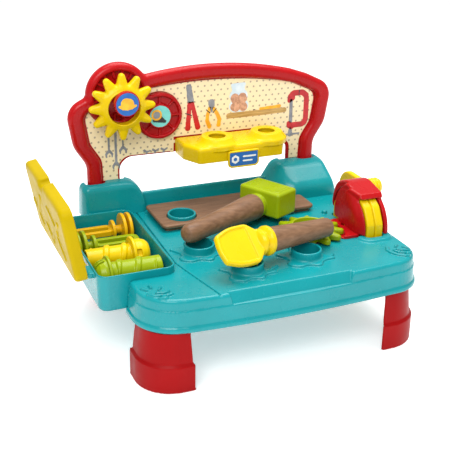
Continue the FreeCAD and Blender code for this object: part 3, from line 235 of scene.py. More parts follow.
def surface(field, lo, hi, h):
    """Vertices, quads and normals of a field's zero surface."""
    lo = np.array(lo, float)
    h = np.array(h if hasattr(h, "__len__") else (h, h, h), float)
    n = np.ceil((np.array(hi, float) - lo) / h).astype(int) + 1
    values = sample(field, lo, n, h)
    values[values == 0] = 1e-5
    solid = values < 0
    count = np.zeros([s - 1 for s in solid.shape], np.int8)
    for i, j, k in CORNERS:
        count += solid[i:i + count.shape[0], j:j + count.shape[1], k:k + count.shape[2]]
    cells = np.argwhere((count > 0) & (count < 8))
    number = np.full(count.shape, -1, np.int32)
    number[tuple(cells.T)] = np.arange(len(cells))
    at = [values[tuple((cells + c).T)] for c in CORNERS]
    total = np.zeros((len(cells), 3))
    hits = np.zeros(len(cells))
    for a, b in EDGES:
        cross = (at[a] < 0) != (at[b] < 0)
        t = np.where(cross, at[a] / np.where(cross, at[a] - at[b], 1), 0)
        total += cross[:, None] * (CORNERS[a] + t[:, None] * (CORNERS[b] - CORNERS[a]))
        hits += cross
    verts = lo + (cells + total / hits[:, None]) * h
    step = 0.2 * float(h.min())

    def gradient(v):
        g = np.empty_like(v)
        for axis in range(3):
            d = np.zeros(3)
            d[axis] = step
            g[:, axis] = (field((v + d).astype(np.float32)) - field((v - d).astype(np.float32))) / (2 * step)
        return g

    for _ in range(2):
        g = gradient(verts)
        size = np.maximum((g * g).sum(1), 0.05)
        move = -(field(verts.astype(np.float32)) / size)[:, None] * g
        verts += np.clip(move, -0.45 * h, 0.45 * h)
    normals = gradient(verts)
    normals /= np.maximum(np.linalg.norm(normals, axis=1), 1e-6)[:, None]
    quads = []
    for axis in range(3):
        u, v = [(1, 2), (2, 0), (0, 1)][axis]
        first = solid[tuple(slice(0, -1) if k == axis else slice(None) for k in range(3))]
        second = solid[tuple(slice(1, None) if k == axis else slice(None) for k in range(3))]
        for flip, mask in ((False, first & ~second), (True, ~first & second)):
            e = np.argwhere(mask)
            e = e[(e[:, u] > 0) & (e[:, v] > 0)]
            du, dv = np.zeros(3, int), np.zeros(3, int)
            du[u], dv[v] = 1, 1
            corners = [e - du - dv, e - dv, e, e - du]
            limit = np.array(number.shape)
            ok = np.all([(c < limit).all(1) for c in corners], axis=0)
            ring = np.stack([number[tuple(c[ok].T)] for c in corners], 1)
            quads.append(ring[:, ::-1] if flip else ring)
    quads = np.concatenate(quads)
    return verts, quads[(quads >= 0).all(1)], normals


def to_mesh(name, verts, quads, normals):
    mesh = bpy.data.meshes.new(name)
    mesh.vertices.add(len(verts))
    mesh.vertices.foreach_set("co", ((verts + SHIFT) * MM).astype(np.float32).ravel())
    mesh.loops.add(quads.size)
    mesh.loops.foreach_set("vertex_index", quads.astype(np.int32).ravel())
    mesh.polygons.add(len(quads))
    mesh.polygons.foreach_set("loop_start", np.arange(0, quads.size, 4, dtype=np.int32))
    mesh.polygons.foreach_set("use_smooth", np.ones(len(quads), bool))
    mesh.update(calc_edges=True)
    mesh.validate()
    if len(mesh.vertices) == len(normals):
        mesh.normals_split_custom_set_from_vertices(normals.astype(np.float32).tolist())
    return mesh


def piece(name, field, room, h, body, material, *nodes):
    """One moulded piece: meshed from its field inside its room, on its body, for the CAD nodes named."""
    step = np.array(h if hasattr(h, "__len__") else (h, h, h), float) * 1
    mesh = to_mesh(name, *surface(field, *room, step))
    mesh.materials.append(material)
    obj = bpy.data.objects.new(name, mesh)
    bpy.context.scene.collection.objects.link(obj)
    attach(obj, body)
    if nodes:
        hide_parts(*nodes)
    return obj


def around(node, air=3):
    """Corners of a CAD node's box with some air round it, in the bench's frame."""
    lo, hi = (np.array(corner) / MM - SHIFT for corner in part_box(node))
    return lo - air, hi + air


def turned(p, matrix, origin):
    """Points in a tool's own frame: matrix turns its frame to the bench's."""
    return (p - np.array(origin, np.float32)) @ np.array(matrix, np.float32)


def turn(axis, degrees):
    return np.array(Matrix.Rotation(math.radians(degrees), 3, axis))


# --- materials ---
class Look:
    """A new material with the nodes that shade it."""

    def __init__(self, name, slot, roughness, specular=0.5):
        self.material = bpy.data.materials.new(name)
        self.material.use_nodes = True
        self.nodes = self.material.node_tree.nodes
        self.inputs = self.nodes["Principled BSDF"].inputs
        self.set(Roughness=roughness, IOR=1.5, Specular_IOR_Level=specular)

    def set(self, **values):
        """Give the shader's sockets a constant, or a node's output."""
        for key, value in values.items():
            self.fill(self.inputs[key.replace("_", " ")], value)

    def fill(self, socket, value):
        if isinstance(value, bpy.types.NodeSocket):
            self.material.node_tree.links.new(value, socket)
        else:
            socket.default_value = value

    def add(self, kind, **inputs):
        """A new node with its inputs set or linked."""
        node = self.nodes.new("ShaderNode" + kind)
        for key, value in inputs.items():
            self.fill(node.inputs[key.replace("_", " ")], value)
        return node

    def place(self, scale=(1, 1, 1), rotation=(0, 0, 0)):
        """Coordinates in the piece's own space, in metres."""
        where = self.nodes.new("ShaderNodeTexCoord").outputs["Object"]
        return self.add("Mapping", Scale=scale, Rotation=rotation, Vector=where).outputs["Vector"]

    def noise(self, vector, scale, detail=2):
        return self.add("TexNoise", Scale=scale, Detail=detail, Vector=vector).outputs["Fac"]

    def ramp(self, source, low, high, to_low, to_high):
        """Value carried from the range low to high over to another range."""
        return self.add("MapRange", From_Min=low, From_Max=high, To_Min=to_low, To_Max=to_high,
                        Value=source).outputs["Result"]

    def mix(self, factor, a, b):
        """Colour between a and b, each a colour or a socket."""
        node = self.nodes.new("ShaderNodeMix")
        node.data_type = "RGBA"
        self.fill(node.inputs["Factor"], factor)
        for key, value in (("A", a), ("B", b)):
            socket = [s for s in node.inputs if s.name == key and s.type == "RGBA"][0]
            self.fill(socket, (*value, 1) if isinstance(value, tuple) else value)
        return [s for s in node.outputs if s.type == "RGBA"][0]

    def bump(self, height, distance, strength):
        node = self.add("Bump", Strength=strength, Distance=distance, Height=height)
        self.set(Normal=node.outputs["Normal"])


def plastic(name, slot, colour, roughness=0.27, specular=0.22):
    """Moulded plastic: faint clouding in colour, uneven gloss and a very fine skin."""
    look = Look(name, slot, roughness, specular)
    vector = look.place()
    cloud = look.ramp(look.noise(vector, 18), 0.3, 0.7, 0, 1)
    dark = tuple(c * 0.93 for c in colour)
    light = tuple(min(c * 1.05, 1) for c in colour)
    gloss = look.ramp(look.noise(vector, 60, 4), 0.3, 0.7, roughness * 0.85, roughness * 1.2)
    look.set(Base_Color=look.mix(cloud, dark, light), Roughness=gloss)
    look.bump(look.noise(vector, 900, 3), 0.00002, 0.6)
    return look.material


def wood_plastic(name, angle=0):
    """Brown plastic with faint streaks along the piece, whose angle about Z is given in degrees."""
    look = Look(name, "brown_plastic", 0.42, 0.35)
    vector = look.place((26, 240, 240), (0, 0, math.radians(angle)))
    streak = look.ramp(look.noise(vector, 1, 4), 0.3, 0.7, 0, 1)
    fine = look.noise(look.place(), 700, 3)
    look.set(Base_Color=look.mix(streak, (0.150, 0.074, 0.036), (0.245, 0.130, 0.068)),
             Roughness=look.ramp(fine, 0.3, 0.7, 0.36, 0.5))
    look.bump(fine, 0.00006, 0.6)
    return look.material


def metal(name):
    """Brushed steel."""
    look = Look(name, "steel", 0.3)
    brushed = look.noise(look.place(), 900, 4)
    look.set(Metallic=1, Base_Color=look.mix(brushed, (0.42, 0.42, 0.44), (0.62, 0.62, 0.64)),
             Roughness=look.ramp(brushed, 0.3, 0.7, 0.25, 0.42))
    return look.material


DOT_PITCH = (10.2, 7.4)     # between dots in a row, and between rows
DOT_EDGE = (1.15, 1.75)     # a dot fades out between these radii


def dotted_card(name):
    """Cream printed card with rows of small dots, each row set half a step along."""
    look = Look(name, "printed_label", 0.42)
    vector = look.place()
    parts = look.add("SeparateXYZ", Vector=vector).outputs

    def calc(operation, *values):
        node = look.nodes.new("ShaderNodeMath")
        node.operation = operation
        for socket, value in zip(node.inputs, values):
            look.fill(socket, value)
        return node.outputs[0]

    column = calc("DIVIDE", calc("SUBTRACT", parts["X"], float(SHIFT[0]) * MM), DOT_PITCH[0] * MM)
    row = calc("DIVIDE", parts["Z"], DOT_PITCH[1] * MM)
    shift = calc("MULTIPLY", calc("MODULO", calc("FLOOR", row), 2), 0.5)
    u = calc("SUBTRACT", calc("FRACT", calc("ADD", calc("ADD", column, shift), 40)), 0.5)
    v = calc("SUBTRACT", calc("FRACT", row), 0.5)
    du, dv = calc("MULTIPLY", u, DOT_PITCH[0]), calc("MULTIPLY", v, DOT_PITCH[1])
    distance = calc("SQRT", calc("ADD", calc("MULTIPLY", du, du), calc("MULTIPLY", dv, dv)))
    dot = look.ramp(distance, *DOT_EDGE, 1, 0)
    paper = look.mix(look.noise(vector, 120, 3), (0.90, 0.745, 0.45), (0.95, 0.80, 0.52))
    look.set(Base_Color=look.mix(dot, paper, (0.44, 0.35, 0.235)))
    look.bump(look.noise(vector, 1500, 2), 0.00002, 0.5)
    return look.material


def ink(name, light, dark, scale=120, stretch=(1, 1, 1)):
    """Printed colour that runs between two tones."""
    look = Look(name, "printed_label", 0.4)
    tone = look.ramp(look.noise(look.place(stretch), scale, 3), 0.35, 0.65, 0, 1)
    look.set(Base_Color=look.mix(tone, dark, light))
    look.bump(look.noise(look.place(), 1500, 2), 0.00002, 0.5)
    return look.material


TEAL = plastic("teal_plastic", "teal_plastic", (0.003, 0.262, 0.286), 0.25, 0.32)
RED = plastic("red_plastic", "red_plastic", (0.41, 0.004, 0.006))
# Darker copy of the red plastic for the legs: painted shade that holds back the light the floor throws on them
LEG_SHADED_RED = plastic("leg_red_painted_shade", "red_plastic", (0.30, 0.002, 0.003), 0.4, 0.1)
YELLOW = plastic("yellow_plastic", "yellow_plastic", (0.72, 0.50, 0.001))
# Darker, duller copy of the yellow plastic for the lid: painted shade on faces that turn from the light
LID_SHADED_YELLOW = plastic("lid_yellow_painted_shade", "yellow_plastic", (0.45, 0.32, 0.001), 0.4, 0.05)
GREEN = plastic("green_plastic", "green_plastic", (0.285, 0.370, 0.003))
AMBER = plastic("amber_plastic", "yellow_plastic", (0.74, 0.42, 0.002))
PLANK_WOOD = wood_plastic("plank_brown")
HAMMER_WOOD = wood_plastic("hammer_brown", -28)
DRIVER_WOOD = wood_plastic("driver_brown", -14.8)
STEEL = metal("screw_steel")
CARD = dotted_card("dotted_card")
GREY_INK = ink("grey_ink", (0.30, 0.31, 0.34), (0.20, 0.21, 0.24))
DARK_INK = ink("dark_ink", (0.03, 0.03, 0.035), (0.015, 0.015, 0.02))
RED_INK = ink("red_ink", (0.62, 0.015, 0.02), (0.45, 0.008, 0.012))
ORANGE_INK = ink("orange_ink", (0.95, 0.52, 0.02), (0.85, 0.38, 0.015))
WOOD_INK = ink("wood_ink", (0.62, 0.40, 0.13), (0.40, 0.23, 0.06), 40, (1, 1, 12))
GLASS_INK = ink("glass_ink", (0.80, 0.88, 0.94), (0.60, 0.74, 0.84), 90)
BISCUIT_INK = ink("biscuit_ink", (0.72, 0.40, 0.25), (0.45, 0.21, 0.12), 260)
BLUE_INK = ink("blue_ink", (0.008, 0.14, 0.50), (0.005, 0.11, 0.42))
TURQUOISE_INK = ink("turquoise_ink", (0.20, 0.66, 0.62), (0.16, 0.58, 0.55))
WHITE_INK = ink("white_ink", (0.9, 0.9, 0.9), (0.8, 0.8, 0.8))

# --- bench ---
CUPS = ((46.2, 63.6), (-40.4, 53.6), (-77.4, 126.6), (6.6, 124.6))
PLANK_RING = (-63.4, 231.6)
CUP_R, CUP_BORE, CUP_TOP, CUP_FLOOR = 20, 17, 136, 92
SAW_X, AXLE_Y, AXLE_Z = 163, 136, 127
SAW_BOSS = (140, 190)           # closes over the saw's rear screw
LIP_Z, LEDGE_Z = 79, 108        # lower edge of the skirt; ledge between the skirt and the front slope
SHELL, PLINTH_Y = 4.4, 14.5     # wall of the hollow; solid front edge up to this y
# how far the skirt stands out from the table's outline, by height
FLARE = ([79, 80.5, 83, 85.5, 88, 96, 107.2, 108.4, 112, 122],
         [2.2, 3.4, 3.7, 3.2, 1, 0.5, 0.3, -0.9, -1.1, -1.7])
GROOVE = ((-112, 290), (-117, 108), (-95.5, 4))
FRONT_X = [-137 + 288 * i / 24 for i in range(25)]
FRONT_CURVE = [(x, 0.5 + 6.5 * (x / 150) ** 2) for x in FRONT_X]
BENCH = Outline(FRONT_CURVE + arc((151, 51), 44, -90, 0)[1:] + arc((171, 294), 24, 0, 90)
                + arc((-165, 294), 24, 90, 180) + arc((-137, 59), 52, 180, 270)[:-1])

# Splashes moulded round the cups: each lobe is a stroke from the cup's middle to a tip, given from there, with
# its radius at both ends. Free drops and the corner splashes are strokes of their own.
LOBES = (
    (((-31, 17.6), 23, 3.4), ((-22.5, -13), 23, 9), ((-17, -18), 22, 7), ((5, -22.5), 22, 7),
     ((31, -13), 21, 3.6), ((24, 22), 22, 5), ((-6, 32), 22, 4)),
    (((-30, 14), 23, 3.4), ((-21, -14), 23, 9), ((-14, -20), 22, 7), ((8, -22), 22, 6),
     ((30, -14.5), 21, 3.6), ((25, 20), 22, 5), ((-8, 31), 22, 4)),
)
SPLASHES = tuple((((x, y), (x + dx, y + dy)), r0, r1) for i, (x, y) in enumerate(CUPS)
                 for (dx, dy), r0, r1 in LOBES[i % 2])
DROPS = (
    (((74, 54), (83, 58.5)), 2.4, 1.8), (((-10, 47.5), (-1, 52.5)), 2.4, 1.8),
    (((-48, 121), (-40, 125)), 2.2, 1.6), (((36, 117), (44, 121)), 2.2, 1.6),
    (((161, 53), (156.5, 44), (158, 36), (162, 28), (170, 22), (179, 20.5)), 2.4, 2.2),
    (((164.5, 41), (167.5, 34), (174, 30)), 1.8, 1.8),
    (((170.5, 43), (176, 38), (184, 35)), 1.9, 1.5),
    (((172, 50), (177, 55)), 1.5, 1.9), (((181, 47), (186, 42)), 1.4, 1.7),
    (((175, 26), (184, 28)), 1.6, 1.9),
    (((-184.5, 42), (-183, 34), (-178, 27), (-170, 21.5), (-159, 20.5)), 2.4, 2.2),
    (((-177, 36), (-172, 30), (-164, 28)), 1.8, 1.8),
    (((-166, 36), (-158, 33), (-151, 35)), 1.9, 1.5),
    (((-169, 50), (-168.5, 57)), 1.4, 1.9), (((-162, 42), (-158, 48)), 1.4, 1.8),
    (((-176, 46), (-180, 52)), 1.4, 1.8), (((-157, 25), (-150, 27.5)), 1.5, 1.8),
)


def near(u, v, x, y, reach):
    """Which points are within reach of a place on the table."""
    return np.flatnonzero((np.abs(u - x) < reach) & (np.abs(v - y) < reach))


def saw_slot(x, y, grow):
    """Outline of the slot the saw's wheel runs in, grown all round."""
    return joined(slab(x, SAW_X - 14 - grow, SAW_X + 14 + grow),
                  slab(y, AXLE_Y - 52.5 - grow, AXLE_Y + 52.5 + grow), 8 + 0.8 * grow)


def bench_field(p):
    x, y, z = p.T
    plan = BENCH(x, y)
    body = smax(plan - np.interp(z, *FLARE), z - TABLE_Z, 5.5)
    # the front edge slopes between its two ends
    slope = half([y, z], (4.5, LEDGE_Z + 0.5), (1, -0.4815))
    centre = smax(smax(slope, np.abs(x + 0.5) - 84 + (TABLE_Z - z) * 0.25, 2), LEDGE_Z - z, 1)
    body = smax(body, -centre, 2.2)
    bin_room = joined(x + 124.4, slab(y, 80.2, 282), 14.5)
    body = smax(body, -bin_room, 1.2)
    body = np.maximum(smax(body, LIP_Z - z, 2), -np.maximum(body + SHELL, PLINTH_Y - y))
    # splashes, then cups and the ring for the plank
    low = np.flatnonzero((z > 112) & (z < 130))
    relief = smin(strokes(x[low], y[low], SPLASHES, 5), strokes(x[low], y[low], DROPS), 1)
    relief = joined(np.maximum(relief, plan[low] + 4), slab(z[low], 118.5, TABLE_Z + 2.9), 1.9)
    body[low] = smin(body[low], relief, 0.9)
    for cx, cy in CUPS + (PLANK_RING,):
        i = near(x, y, cx, cy, 34)
        q = p[i]
        body[i] = smin(body[i], barrel(q, 2, (cx, cy), CUP_R, CUP_FLOOR - 3, CUP_TOP, 1.3), 3)
        body[i] = smax(body[i], -barrel(q, 2, (cx, cy), CUP_BORE, CUP_FLOOR, CUP_TOP + 20, 2), 1.4)
    body = smin(body, barrel(p, 2, SAW_BOSS, 4, TABLE_Z - 1, TABLE_Z + 4.5, 1.2), 1)
    # the saw's slot, its walls under the table and a raised lip round its front
    i = near(x, y, SAW_X, 120, 86)
    u, v, w = p[i].T
    lip = joined(saw_slot(u, v, 10.5), slab(w, 116, TABLE_Z + 3.6), 3.4)
    lip = np.maximum(lip, v - 93)
    wall = np.maximum(saw_slot(u, v, 3), slab(w, 84, TABLE_Z))
    body[i] = smin(np.minimum(body[i], wall), lip, 3)
    body[i] = smax(body[i], -saw_slot(u, v, 0), 1.6)
    groove = strokes(x, y, ((GROOVE, 0.7, 0.7),))
    return smax(body, -np.maximum(groove, TABLE_Z - 2 - z), 1.4)


def rail_field(p):
    x, y, z = p.T
    side = smax(half([y, z], (299, 122), (-1, 0.09)), half([y, z], (313, 122), (1, 0.25)), 1)
    return hard(smax(side, z - 146, 4), 121 - z, slab(x, -107, 101))


def tower_common(p, d, side):
    """What both towers share: back, seat for the frame's tube, slot for the board and a hollow inside."""
    x, y, z = p.T
    x = x * side
    d = smax(d, y - 317, 5)
    d = np.maximum(d, 121.5 - z)
    seat = joined(slab(x, 151.5, 179.5), slab(y, 299, 330), 8)
    d = smax(d, -np.maximum(seat, 150 - z), 2.6)
    board = hard(slab(x, 122, 153), 308.2 - y, 158 - z)
    d = smax(d, -board, 0.8)
    inside = np.maximum(d + 4, z - 158)
    return np.maximum(d, -inside)


def tower_right_field(p):
    x, y, z = p.T
    d = trim(252.5 - y, (half([y, z], (252.5, 141), (-1, 1.30)), 9),
             (half([x, z], (90.5, 136), (-1, 0.66)), 10), (90.5 - x, 4),
             (half([x, y], (91, 280), (-0.78, -0.62)), 16),
             (half([x, y, z], (117, 264, 152), (-0.66, -0.50, 0.56)), 14),
             (half([x, z], (194.5, 122), (1, 0.16)), 9), (z - 168, 8))
    return tower_common(p, d, 1)


def tower_left_field(p):
    x, y, z = p.T
    u = -x
    d = trim(half([y, z], (285, 122), (-1, 0.085)), (half([u, z], (189.5, 122), (1, 0.04)), 8),
             (half([u, z], (97.5, 147), (-1, 0.72)), 9), (95 - u, 12),
             (half([x, y], (-184, 288), (-0.75, -0.66)), 5), (z - 168.5, 11))
    return tower_common(p, d, -1)


# --- bin and lid ---
HINGE_X, HINGE_Z, KNUCKLE_R = -230, 127, 3.6
LID_OPEN = 100
BIN = ((-225, 80, 82), (-124, 282, 132))
BIN_WALL, BIN_R = 2.6, 14
LID_X = (-227.5, -129)
LID_Y = (80.5, 281.5)
LID_Z = (132.8, 148.8)
LID_WALL = 3
LID_TURN = turn("Y", -LID_OPEN)
LID_MIDDLE = (LID_X[0] + LID_X[1]) / 2
NOTCH_Y = (LID_Y[0] + LID_Y[1]) / 2 + 6
# tools moulded in the lid: strokes given from the lid's middle and its notch
LID_TOOLS = tuple((tuple((LID_MIDDLE + x, NOTCH_Y + y) for x, y in points), r0, r1) for points, r0, r1 in (
    (((-26, -72), (8, -36)), 4, 4), (((4, -54), (20, -22)), 7.5, 6),
    (((22, -76), (-20, -18)), 3.2, 3.2), (((-28, -8), (-16, 12), (-26, 30)), 5.5, 5),
    (((-12, 60), (22, 20)), 4, 4), (((-30, 44), (-4, 76)), 7, 5)))


def knuckles(p, body, spans, lo, hi):
    """Hinge knuckles at the given spans in y, each on an arm between the corners lo and hi in x and z."""
    for y0, y1 in spans:
        knuckle = barrel(p, 1, (HINGE_X, HINGE_Z), KNUCKLE_R, y0, y1, 0.6)
        arm = block(p, (lo[0], y0, lo[1]), (hi[0], y1, hi[1]), 0.6)
        body = np.minimum(body, smin(knuckle, arm, 0.8))
    return body


def bin_field(p):
    x, y, z = p.T
    lo, hi = BIN
    taper = (hi[2] - z) * 0.03
    plan = joined(slab(x, lo[0], hi[0]), slab(y, lo[1], hi[1]), BIN_R) + taper
    body = smax(smax(plan, lo[2] - z, 7), z - hi[2], 1.2)
    inner = joined(slab(x, lo[0] + BIN_WALL, hi[0] - BIN_WALL),
                   slab(y, lo[1] + BIN_WALL, hi[1] - BIN_WALL), BIN_R - 2.5) + taper
    body = smax(body, -smax(inner, 92 - z, 4), 1.2)
    under = smax(plan + BIN_WALL, z - 89.4, 2)
    body = smax(body, -under, 1)
    return knuckles(p, body, ((100, 124), (238, 262)), (HINGE_X, HINGE_Z - KNUCKLE_R), (-223, HINGE_Z + 3))


def lid_field(p):
    q = turned(p, LID_TURN, (HINGE_X, 0, HINGE_Z)) + np.array([HINGE_X, 0, HINGE_Z], np.float32)
    x, y, z = q.T
    plan = joined(slab(x, *LID_X), slab(y, *LID_Y), 13)
    notch = joined(LID_X[1] - 8 - x, slab(y, NOTCH_Y - 10, NOTCH_Y + 10), 5)
    plan = smax(plan, -notch, 3)
    body = smax(smax(plan, z - LID_Z[1], 7), LID_Z[0] - z, 1.2)
    body = smax(body, -smax(plan + LID_WALL, z - LID_Z[1] + 3.2, 2), 1)
    relief = joined(strokes(x, y, LID_TOOLS, 2), slab(z, LID_Z[1] - 3, LID_Z[1] + 1.6), 1.2)
    body = smin(body, smax(relief, plan + 3, 1), 1.6)
    return knuckles(q, body, ((124.4, 146), (216, 237.6)), (HINGE_X - KNUCKLE_R, HINGE_Z),
                    (-225.6, LID_Z[0] + 8))


# --- back board ---
OUTER = ((176.5, 142, 0), (176.5, 194, 30), (194.5, 222, 40), (203.5, 277.5, 27),
         (161, 298, 60), (135, 307, 0))
INNER = ((154.5, 142, 0), (157, 199, 25), (173, 224, 25), (180, 268, 16),
         (140, 286, 0), (118, 291, 0))
LOBE, LOBE_R = (-128.7, 291), 46
DISC, DISC_R = (-70, 256.5), 33.5
POST = (-130, 291)
CARD_Y = 308.4


def arch(corners, apex):
    """Closed loop, symmetric about x = 0, whose top is one arc through the apex."""
    x, z, _ = corners[-1]
    rise = apex - z
    radius = (x * x + rise * rise) / (2 * rise)
    span = math.degrees(math.asin(x / radius))
    top = [(px, pz, 0) for px, pz in arc((0, apex - radius), radius, 90 - span, 90 + span, 24)]
    right = list(corners)
    left = [(-px, pz, r) for px, pz, r in reversed(corners)]
    return rounded(right + top[1:-1] + left)


OUTER_ARCH = Outline(arch(OUTER, 324.3))
INNER_ARCH = Outline(arch(INNER, 303.5))
WINDOW = Outline(rounded([(-128.6, 120, 0), (133.5, 120, 0), (133.5, 197.4, 14), (-128.6, 199.4, 20)]))


def ribs(p, centre, r, count, lead, span, front):
    """Short walls that run out from a centre, up to the front; lead turns them by a part of their pitch."""
    x, y, z = p.T
    angle = np.arctan2(z - centre[1], x - centre[0])
    pitch = 2 * math.pi / count
    across = np.abs((angle + lead * pitch) % pitch - pitch / 2) * r - 1.5
    return hard(across, slab(r, *span), front - y, y - 310)


def frame_field(p):
    """Tube round the board with the gear's round seat, the board's backing panel and the small disc."""
    x, y, z = p.T
    outer, inner = OUTER_ARCH(x, z), INNER_ARCH(x, z)
    ring = joined(outer, slab(y, 300, 316), 7.6)
    ring = smax(ring, -inner - 0.4, 9)
    ring = np.maximum(ring, 146 - z)
    lobe_r = length(x - LOBE[0], z - LOBE[1])
    lobe = joined(lobe_r - LOBE_R, slab(y, 299.4, 316.4), 7.4)
    d = smin(ring, lobe, 4)
    d = smax(d, -joined(lobe_r - 35, slab(y, 280, 308), 1), 4)
    panel = smax(np.maximum(inner - 2, -WINDOW(x, z)), slab(y, 309, 312.8), 0.8)
    panel = np.maximum(panel, 159 - z)
    d = np.minimum(d, panel)
    disc_r = length(x - DISC[0], z - DISC[1])
    disc = joined(disc_r - DISC_R, slab(y, 300, 311), 3.2)
    disc = smax(disc, -joined(np.abs(disc_r - 23.2) - 5.4, slab(y, 280, 304.8), 1.2), 1.6)
    d = smin(d, ribs(p, LOBE, lobe_r, 16, 0, (25, 36), 302.5), 1.6)
    return np.minimum(d, smin(disc, ribs(p, DISC, disc_r, 8, 0.5, (17, 29.5), 301.4), 1.6))


def post_field(p):
    d = barrel(p, 1, POST, 11.5, 262, 306.5, 0.6)
    return smin(d, barrel(p, 1, POST, 17.4, 257.3, 265, 1.2), 1.2)


# --- gears ---
TEETH = 12
TOOTH_R = (27, 42.6)                # a tooth tapers between these radii
GEAR_BORE = 22.2
GEAR_TOP = ([20, 24, 25, 26.5, 32, 40, 47], [13.9, 13.9, 12.9, 12.4, 9.8, 8.2, 7.2])
GEAR_Z = 291 + 11.5 + 0.3 - 22      # the loose gear hangs on its post
GEAR_AT = (84.4, 129.2)             # the other one lies on the table
GEAR_BACK_Y, GEAR_FLAT_Z = 285, 124.4


def gear_field(u, v, t, lead):
    """Toothed ring in the plane u, v; t is the height above its flat back."""
    r = length(u, v)
    pitch = 2 * math.pi / TEETH
    angle = (np.arctan2(v, u) - math.radians(lead) + pitch / 2) % pitch - pitch / 2
    a, b = r * np.cos(angle), r * np.sin(angle)
    s = np.clip((a - TOOTH_R[0]) / (TOOTH_R[1] - TOOTH_R[0]), 0, 1)
    tooth = length(a - (TOOTH_R[0] + s * 15), b) - (7.9 - 3.3 * s ** 1.5)
    plan = smin(r - 32, tooth * 0.95, 3)
    ridge = np.abs(b) * 0.22 * np.clip((r - 28) / 6, 0, 1)
    d = smax(plan, (t - np.interp(r, *GEAR_TOP) + ridge) * 0.95, 3)
    return trim(d, (-t, 1.2), (GEAR_BORE - r, 1.8))


def back_gear_field(p):
    return gear_field(p[:, 0] - POST[0], p[:, 2] - GEAR_Z, GEAR_BACK_Y - p[:, 1], 0)


def table_gear_field(p):
    x, y, z = p.T
    d = gear_field(x - GEAR_AT[0], y - GEAR_AT[1], z - GEAR_FLAT_Z, 7.5)
    hub = tube(p, 2, GEAR_AT, 22.8, 12.2, GEAR_FLAT_Z + 0.1, GEAR_FLAT_Z + 5, 0.7)
    return np.minimum(d, hub)


# --- shelf ---
SHELF = Outline(rounded([(-46, 309, 0), (112, 309, 0), (112, 276, 10), (98, 246, 8),
                         (-31, 246, 8), (-46, 276, 10)]), 0.8)
SHELF_TOP, SHELF_FOOT = 221, 197.5
HOLES_X, HOLES_Y, HOLE_R = (5, 82), 272, 14


def shelf_field(p):
    x, y, z = p.T
    plan = SHELF(x, y) + (SHELF_TOP - z) * 0.05
    d = smax(smax(plan, z - SHELF_TOP, 6.5), SHELF_FOOT - z, 1)
    d = smax(d, -np.maximum(plan + 2.6, z - (SHELF_TOP - 2.8)), 0.8)
    for cx in HOLES_X:
        r = length(x - cx, y - HOLES_Y)
        rise = SHELF_TOP + 8.6 * np.clip((30 - r) / 8, 0, 1) ** 1.4
        collar = smax(z - np.minimum(rise, SHELF_TOP + 8.2), r - 29.5, 2)
        collar = np.maximum(collar, 214 - z)
        d = smin(d, collar, 2.5)
        d = np.minimum(d, tube(p, 2, (cx, HOLES_Y), HOLE_R + 2.2, HOLE_R, 199.5, 227, 0.6))
        d = smax(d, HOLE_R - r + np.clip(z - 224, 0, 6) * -0.55, 3)
    return d


BADGE = Outline(rounded([(10.7, 188, 7), (58.5, 188, 7), (58.5, 213, 3), (10.7, 213, 3)]), 0.5)


def badge_field(p):
    plan = BADGE(p[:, 0], p[:, 2])
    d = joined(plan, slab(p[:, 1], 242, 246), 1.4)
    return smax(d, -joined(plan + 2.2, slab(p[:, 1], 230, 242.9), 0.4), 0.6)


# --- plank and hand tools ---
PLANK = Outline(rounded([(-100, 202, 9), (130, 202, 8), (130, 248.5, 5), (93, 248.5, 3),
                         (93, 286, 5), (-100, 286, 8)]))


def plank_field(p):
    x, y, z = p.T
    plan = PLANK(x, y)
    d = joined(plan, slab(z, 126.6, 132), 2.2)
    d = np.minimum(d, np.maximum(plan + 5, slab(z, 122.3, 128)))
    hole = 20.8 - length(x - PLANK_RING[0], y - PLANK_RING[1])
    return smax(d, hole, 1.4)


# Each tool is drawn along its own X and laid in place. The hammer's X runs from its head to its handle's end.
HAMMER_AT = (55.3, 204, 151.7)
HAMMER_TURN = turn("Z", 208) @ turn("Y", -1.4)
DROP = -4     # the handle's middle is this much below the head's


def along(q, xs, radii, drop=0):
    """Turned form along X with the given radii at the given places."""
    r = length(q[:, 1], q[:, 2] - drop)
    return (r - np.interp(q[:, 0], xs, radii)) * 0.9


def hammer_head_field(p):
    """Block with a raised outline and two lines on top, and the collar that holds the handle."""
    q = turned(p, HAMMER_TURN, HAMMER_AT)
    x, y, z = q.T
    d = block(q, (-21.6, -34.6, -18), (21.6, 34.6, 18.6), 4.2)
    edge = joined(np.abs(x) - 15, np.abs(y) - 28, 3)
    d = smin(d, joined(np.abs(edge) - 0.8, slab(z, 15, 19.5), 0.5), 0.8)
    for y0 in (-22.5, 22.5):
        line = joined(np.abs(y - y0) - 0.9, np.abs(x) - 13, 0.8)
        d = smin(d, joined(line, slab(z, 15, 19.4), 0.5), 0.8)
    collar = along(q, [18, 21, 23.5, 25, 26.5, 29, 30], [14.6, 15, 16.6, 15.6, 17.2, 17.4, 16.6], DROP)
    collar = smax(smax(collar, x - 30, 0.8), 16 - x, 0.5)
    return smin(d, collar, 2)


def hammer_handle_field(p):
    q = turned(p, HAMMER_TURN, HAMMER_AT)
    d = along(q, [30, 34, 54, 90, 130, 156, 166, 172, 175.5],
              [17.6, 18.3, 17.7, 15.1, 13.4, 13.6, 12.8, 10.2, 6], DROP)
    return smax(smax(d, 30.1 - q[:, 0], 2), q[:, 0] - 175, 5)


DRIVER_AT = (-16.4, 61.6, 156)
DRIVER_TURN = turn("Z", 14.8) @ turn("Y", 4)
BLADE_TURN = DRIVER_TURN @ turn("X", 42)      # the flat blade lies aslant
BLADE = Outline(rounded([(-4, -9, 2), (-20, -27, 9), (-46, -27, 60), (-68, -19, 6),
                         (-71.5, 0, 50), (-68, 19, 6), (-46, 27, 60), (-20, 27, 9),
                         (-4, 9, 2)]), 0.6)


